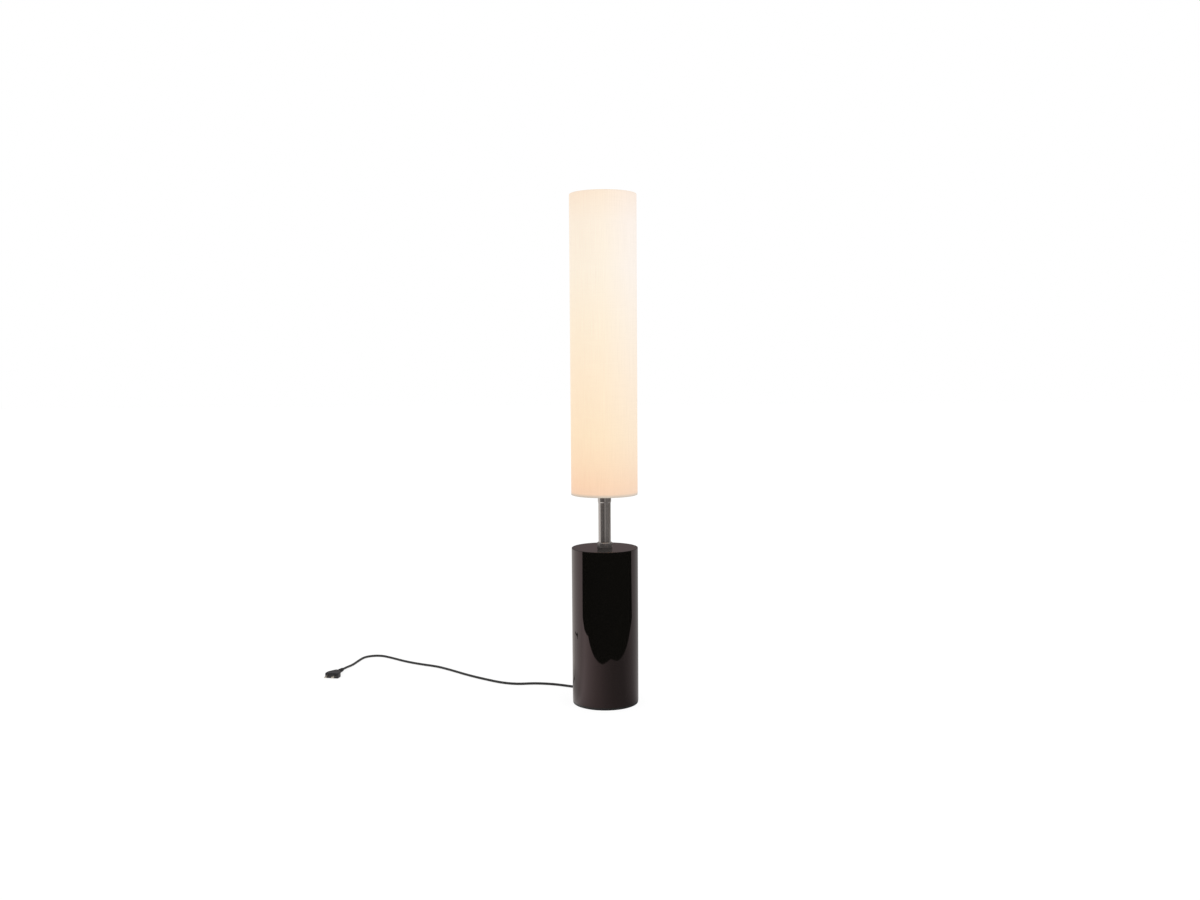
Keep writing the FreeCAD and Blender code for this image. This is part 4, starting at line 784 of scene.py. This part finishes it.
class LAMP_OT_fittings(bpy.types.Operator):
    """Make the gland, the foot switch and the plug that are on the lead"""

    bl_idname = "lamp.fittings"
    bl_label = "Switch, plug and gland"

    def execute(self, context):
        sizes = context.scene.lamp_sizes
        sleeve = sleeve_tree()
        plastic = FINISHES["black_plastic"]

        def ribbed(name, place, reach, root, tip, rings, ring=0.5 * MM):
            """The mesh of a ribbed sleeve at its place."""
            mesh = grown(name, sleeve, {"Length": reach, "Root": root, "Tip": tip, "Rings": rings,
                                        "Ring": ring, "Margin": 2.2 * MM, "Material": plastic})
            mesh.transform(place)
            return mesh

        # gland: a domed flange against the base and a ribbed sleeve
        level = (GLAND_LOW.z + GLAND_HIGH.z) / 2
        back = Matrix.Rotation(-math.pi / 2, 4, "X")
        sunk, wide, root, rim, top = 1 * MM, 8.5 * MM, 6.5 * MM, 3.4 * MM, 4.4 * MM
        at_base = Matrix.Translation((0, BASE_HIGH.y - sunk, level)) @ back
        outline = eased([(0.0, 0.0, 0), (wide, 0.0, 0.2 * MM), (wide, rim, 1.2 * MM), (root, top, 0.6 * MM),
                         (0.0, top, 0)])
        turned_piece("gland_flange", outline, 64, "lamp", "black_plastic", place=at_base)
        # the sleeve starts inside the flange
        reach = GLAND_HIGH.y - BASE_HIGH.y - 3 * MM
        at_flange = Matrix.Translation((0, GLAND_HIGH.y - reach, level)) @ back
        mesh = ribbed("gland_sleeve", at_flange, reach, root, 4.2 * MM, 8)
        gland = piece("gland_sleeve", mesh, "lamp", "black_plastic", "cord_gland")

        # plug: a flat body that widens from its neck to its shoulders, and a ribbed sleeve; each ring is
        # its way along the plug, half its width, half its thickness and its corners' radius, in mm
        place = plug_place()
        rings = [(thick * MM, half * MM, corner * MM, z * MM) for z, half, thick, corner in (
                (26.0, 5.6, 5.2, 3.4), (26.4, 6.6, 6.1, 3.6), (28.0, 7.6, 6.7, 3.6), (31.0, 9.1, 6.85, 3.4),
                (38.0, 12.6, 6.85, 3.2), (44.5, 15.9, 6.85, 3.0), (47.5, 17.2, 6.85, 3.0),
                (50.0, 17.65, 6.85, 3.0), (60.6, 17.65, 6.85, 3.0), (61.6, 17.35, 6.55, 2.8),
                (62.0, 16.7, 5.9, 2.4))]
        body = lofted_piece("plug_shell", rings, 8, place, "plug_body")
        mesh = ribbed("plug_sleeve", place, 27 * MM, 4.0 * MM, 5.5 * MM, 8, 0.45 * MM)
        relief = piece("plug_sleeve", mesh, "lamp", "black_plastic")

        # foot switch: two mouldings with a shadow line between them; a ring of the tray is its inset and
        # its height, in mm
        middle = (TRAY_LOW.x + TRAY_HIGH.x) / 2, (COVER_LOW.y + COVER_HIGH.y) / 2
        half_x, half_y = (COVER_HIGH.x - COVER_LOW.x) / 2, (COVER_HIGH.y - COVER_LOW.y) / 2
        at_switch = Matrix.Translation((*middle, 0))
        split = COVER_LOW.z
        corner, corner_steps = 10 * MM, 10

        def inset_ring(inset, z):
            """The switch's outline, drawn in by so many mm."""
            return half_x - inset * MM, half_y - inset * MM, corner - inset * MM, z

        rings = [inset_ring(inset, z * MM) for inset, z in (
            (2.0, 0.0), (1.1, 0.15), (0.4, 0.8), (0.0, 2.0), (0.0, 2.4), (0.0, 12.1), (0.0, 12.4),
            (0.15, 12.6), (0.5, 12.6), (0.5, 13.0))]
        tray = lofted_piece("switch_base", rings, corner_steps, at_switch, "switch_tray")
        top = COVER_HIGH.z
        lip, slack = 2.0 * MM, 0.3 * MM
        hole = (BUTTON_HIGH.x - BUTTON_LOW.x) / 2 - lip + slack
        rings = [inset_ring(inset, z) for inset, z in (
            (0.5, split), (0.15, split), (0.0, split + 0.2 * MM), (0.0, split + 0.5 * MM),
            (0.0, top - 3.3 * MM), (0.0, top - 3.0 * MM), (0.23, top - 1.85 * MM), (0.88, top - 0.88 * MM),
            (1.85, top - 0.23 * MM), (3.0, top), (3.4, top))]
        # a shallow dish round the button, and the hole's wall
        rings += [(hole + extra * MM, hole + extra * MM, hole + extra * MM, z) for extra, z in (
            (2.2, top), (1.9, top), (1.2, top - 0.7 * MM), (0.5, top - 0.9 * MM), (0.0, top - 1.1 * MM),
            (0.0, top - 6.0 * MM))]
        cover = lofted_piece("switch_top", rings, corner_steps, at_switch, "switch_cover")
        cord_z, reach = 8 * MM, 8 * MM
        for name, y, turn in (("switch_sleeve_near", COVER_LOW.y, math.pi / 2),
                              ("switch_sleeve_far", COVER_HIGH.y, -math.pi / 2)):
            place = Matrix.Translation((middle[0], y, cord_z)) @ Matrix.Rotation(turn, 4, "X")
            mesh = ribbed(name, place, reach, 5.5 * MM, 4.6 * MM, 3)
            piece(name, mesh, "lamp", "black_plastic")
        # the button: a shallow dished disc with a rounded rim
        r, low, high = hole - slack, BUTTON_LOW.z, BUTTON_HIGH.z
        outline = eased([
            (0.0, low, 0), (r, low, 0.3 * MM), (r, high, 1.8 * MM),
            (r - 2.6 * MM, high - 0.05 * MM, 1.2 * MM), (r - 3.6 * MM, high - 0.7 * MM, 1.5 * MM),
            (0.0, high - 1.0 * MM, 0)], 5)
        turned_piece("button_cap", outline, 96, "foot_button", "button_plastic", "switch_button",
                     place=at_switch)

        near = lead("lead_to_switch", LEAD_ROUTE, sizes.cord, "cord_lead")
        far = lead("lead_to_plug", LINK_ROUTE + coil_route() + RUN_ROUTE, sizes.cord,
                   "cord_link", "cord_coil", "cord_run")
        return {"FINISHED"}


class LAMP_OT_base(bpy.types.Operator):
    """Make the lacquered shell of the base"""

    bl_idname = "lamp.base"
    bl_label = "Base"

    def execute(self, context):
        sizes = context.scene.lamp_sizes
        r, low, high = BASE_HIGH.y, BASE_LOW.z, BASE_HIGH.z
        wall, top, bore = sizes.shell_wall, 2 * MM, 12.3 * MM
        outline = eased([(r - wall, low, 0), (r, low, 0.4 * MM), (r, high, sizes.base_edge), (bore, high, 0),
                         (bore, high - top, 0), (r - wall, high - top, 0)])
        turned_piece("base_drum", outline, 2 * sizes.turn_steps, "lamp", "base_lacquer", "base_shell")
        return {"FINISHED"}


class LAMP_OT_stem(bpy.types.Operator):
    """Make the plated stem with its foot collar and top cap"""

    bl_idname = "lamp.stem"
    bl_label = "Stem"

    def execute(self, context):
        steps = context.scene.lamp_sizes.turn_steps
        wall, slack = 1.5 * MM, 0.05 * MM
        r, low, high = TUBE_HIGH.y, TUBE_LOW.z, TUBE_HIGH.z
        outline = eased([(r - wall, low, 0), (r, low, 0), (r, high, 0), (r - wall, high, 0)])
        turned_piece("stem_pipe", outline, steps, "lamp", "dark_nickel", "stem_tube")
        bore = r + slack
        # the collar has a groove round it, 0.8 mm wide and deep
        r, low, high = COLLAR_HIGH.y, COLLAR_LOW.z, COLLAR_HIGH.z
        groove, cut = low + 3.0 * MM, 0.8 * MM
        outline = eased([(bore, low, 0), (r, low, 0.4 * MM), (r, groove, 0.2 * MM),
                         (r - cut, groove, 0.1 * MM), (r - cut, groove + cut, 0.1 * MM),
                         (r, groove + cut, 0.2 * MM), (r, high, 1.5 * MM), (bore, high, 0.2 * MM)], 8)
        turned_piece("stem_foot_ring", outline, steps, "lamp", "dark_nickel", "stem_collar")
        # the cap has a slanted lower edge, and a web at its top with the tie rod's bore
        r, low, high = CAP_HIGH.y, CAP_LOW.z, CAP_HIGH.z
        web, rod_bore = high - 15 * MM, 4.2 * MM
        outline = eased([(bore, low, 0.1 * MM), (r - 0.9 * MM, low, 0), (r, low + 2.4 * MM, 0.8 * MM),
                         (r, high, 0.3 * MM), (rod_bore, high, 0), (rod_bore, web, 0), (bore, web, 0)], 4)
        turned_piece("stem_top_ring", outline, steps, "lamp", "dark_nickel", "stem_cap")
        return {"FINISHED"}


class LAMP_OT_shade(bpy.types.Operator):
    """Wrap the shade's cloth round its rings"""

    bl_idname = "lamp.shade"
    bl_label = "Shade"

    def execute(self, context):
        sizes = context.scene.lamp_sizes
        r, low, high = SHADE_HIGH.y, SHADE_LOW.z, SHADE_HIGH.z
        # the cloth goes down outside, in under the wire ring, up behind it and back out to the lining
        turn_in, under, back_out = 5.8 * MM, 5.4 * MM, 4 * MM
        ring, lining = r - turn_in, r - 1.85 * MM
        section = [(lining, low + sizes.hem), (lining, low + under + back_out), (ring, low + under),
                   (ring, low), (r, low), (r, high), (ring, high), (ring, high - under),
                   (lining, high - under - back_out), (lining, high - sizes.hem)]
        start = bpy.data.meshes.new("cloth_section")
        start.from_pydata([(x, 0, z) for x, z in section], [(i, i + 1) for i in range(len(section) - 1)], [])
        round_about = math.tau * r + sizes.lap
        mesh = grown("shade_cloth", cloth_tree(), {
            "Columns": 225, "Rows": 150, "Crowding": 0.92, "Fold": 1.6 * MM, "Fold steps": 6,
            "Seam angle": math.pi / 2, "Lap angle": sizes.lap / r, "Lap start": 0.04,
            "Lap rise": sizes.cloth + 0.1 * MM, "Round": round_about, "Material": FINISHES["shade_fabric"]},
            start)
        cloth = piece("shade_cloth", mesh, "shade", "shade_fabric", "shade_fabric", crease=0)
        thick = cloth.modifiers.new("thickness", "SOLIDIFY")
        thick.thickness = sizes.cloth
        thick.offset = -1.0
        return {"FINISHED"}


class LAMP_OT_knob(bpy.types.Operator):
    """Make the knurled knob that holds the shade down"""

    bl_idname = "lamp.knob"
    bl_label = "Top knob"

    def execute(self, context):
        sizes = context.scene.lamp_sizes
        r, low, high = FINIAL_HIGH.y, FINIAL_LOW.z, FINIAL_HIGH.z
        rib = 0.35 * MM
        core = r - rib
        outline = eased([(0.0, low, 0), (core - 1 * MM, low, 0.2 * MM), (core, low + 1 * MM, 0.3 * MM),
                         (core, high - 4 * MM, 1.2 * MM), (core - 1.8 * MM, high - 1.4 * MM, 1.2 * MM),
                         (3 * MM, high, 0.6 * MM), (0.0, high, 0)])
        turned_piece("knob", outline, 96, "finial", "dark_nickel", "finial")
        mesh = grown("knob_knurls", knurl_tree(), {
            "Count": sizes.knurls, "Radius": core, "Middle": low + 5.6 * MM,
            "Rib": (rib, rib, 3.6 * MM), "Material": FINISHES["dark_nickel"]})
        piece("knob_knurls", mesh, "finial", "dark_nickel")
        return {"FINISHED"}


class LAMP_OT_finishes(bpy.types.Operator):
    """Give every CAD node that stays the finish of its slot"""

    bl_idname = "lamp.finishes"
    bl_label = "Finishes"

    def execute(self, context):
        make_finishes(context.scene.lamp_colours, context.scene.lamp_sizes)
        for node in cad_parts.values():
            for slot in node.material_slots:
                slot.material = FINISHES[slot.material.name]
        return {"FINISHED"}


class LAMP_PT_panel(bpy.types.Panel):
    """The lamp's sizes, colours and steps"""

    bl_label = "Column floor lamp"
    bl_idname = "LAMP_PT_panel"
    bl_space_type = "VIEW_3D"
    bl_region_type = "UI"
    bl_category = "Lamp"

    def draw(self, context):
        for group in (context.scene.lamp_sizes, context.scene.lamp_colours, context.scene.lamp_view):
            for name in group.__annotations__:
                self.layout.prop(group, name)
        for operator in OPERATORS:
            self.layout.operator(operator.bl_idname)


GROUPS = (LampSizes, LampColours, LampView)
OPERATORS = (LAMP_OT_finishes, LAMP_OT_view, LAMP_OT_stage, LAMP_OT_fittings, LAMP_OT_base, LAMP_OT_stem,
             LAMP_OT_shade, LAMP_OT_knob)


def register():
    """Register the classes and give the scene its groups of values."""
    for group in GROUPS + OPERATORS + (LAMP_PT_panel,):
        bpy.utils.register_class(group)
    bpy.types.Scene.lamp_sizes = PointerProperty(type=LampSizes)
    bpy.types.Scene.lamp_colours = PointerProperty(type=LampColours)
    bpy.types.Scene.lamp_view = PointerProperty(type=LampView)


def unregister():
    """Take the classes and groups away again."""
    del bpy.types.Scene.lamp_view
    del bpy.types.Scene.lamp_colours
    del bpy.types.Scene.lamp_sizes
    for group in reversed(GROUPS + OPERATORS + (LAMP_PT_panel,)):
        bpy.utils.unregister_class(group)


def main():
    """Build everything."""
    register()
    bpy.ops.lamp.finishes()
    bpy.ops.lamp.view()
    bpy.ops.lamp.stage()
    bpy.ops.lamp.fittings()
    bpy.ops.lamp.base()
    bpy.ops.lamp.stem()
    bpy.ops.lamp.shade()
    bpy.ops.lamp.knob()


if __name__ == "__main__":
    main()
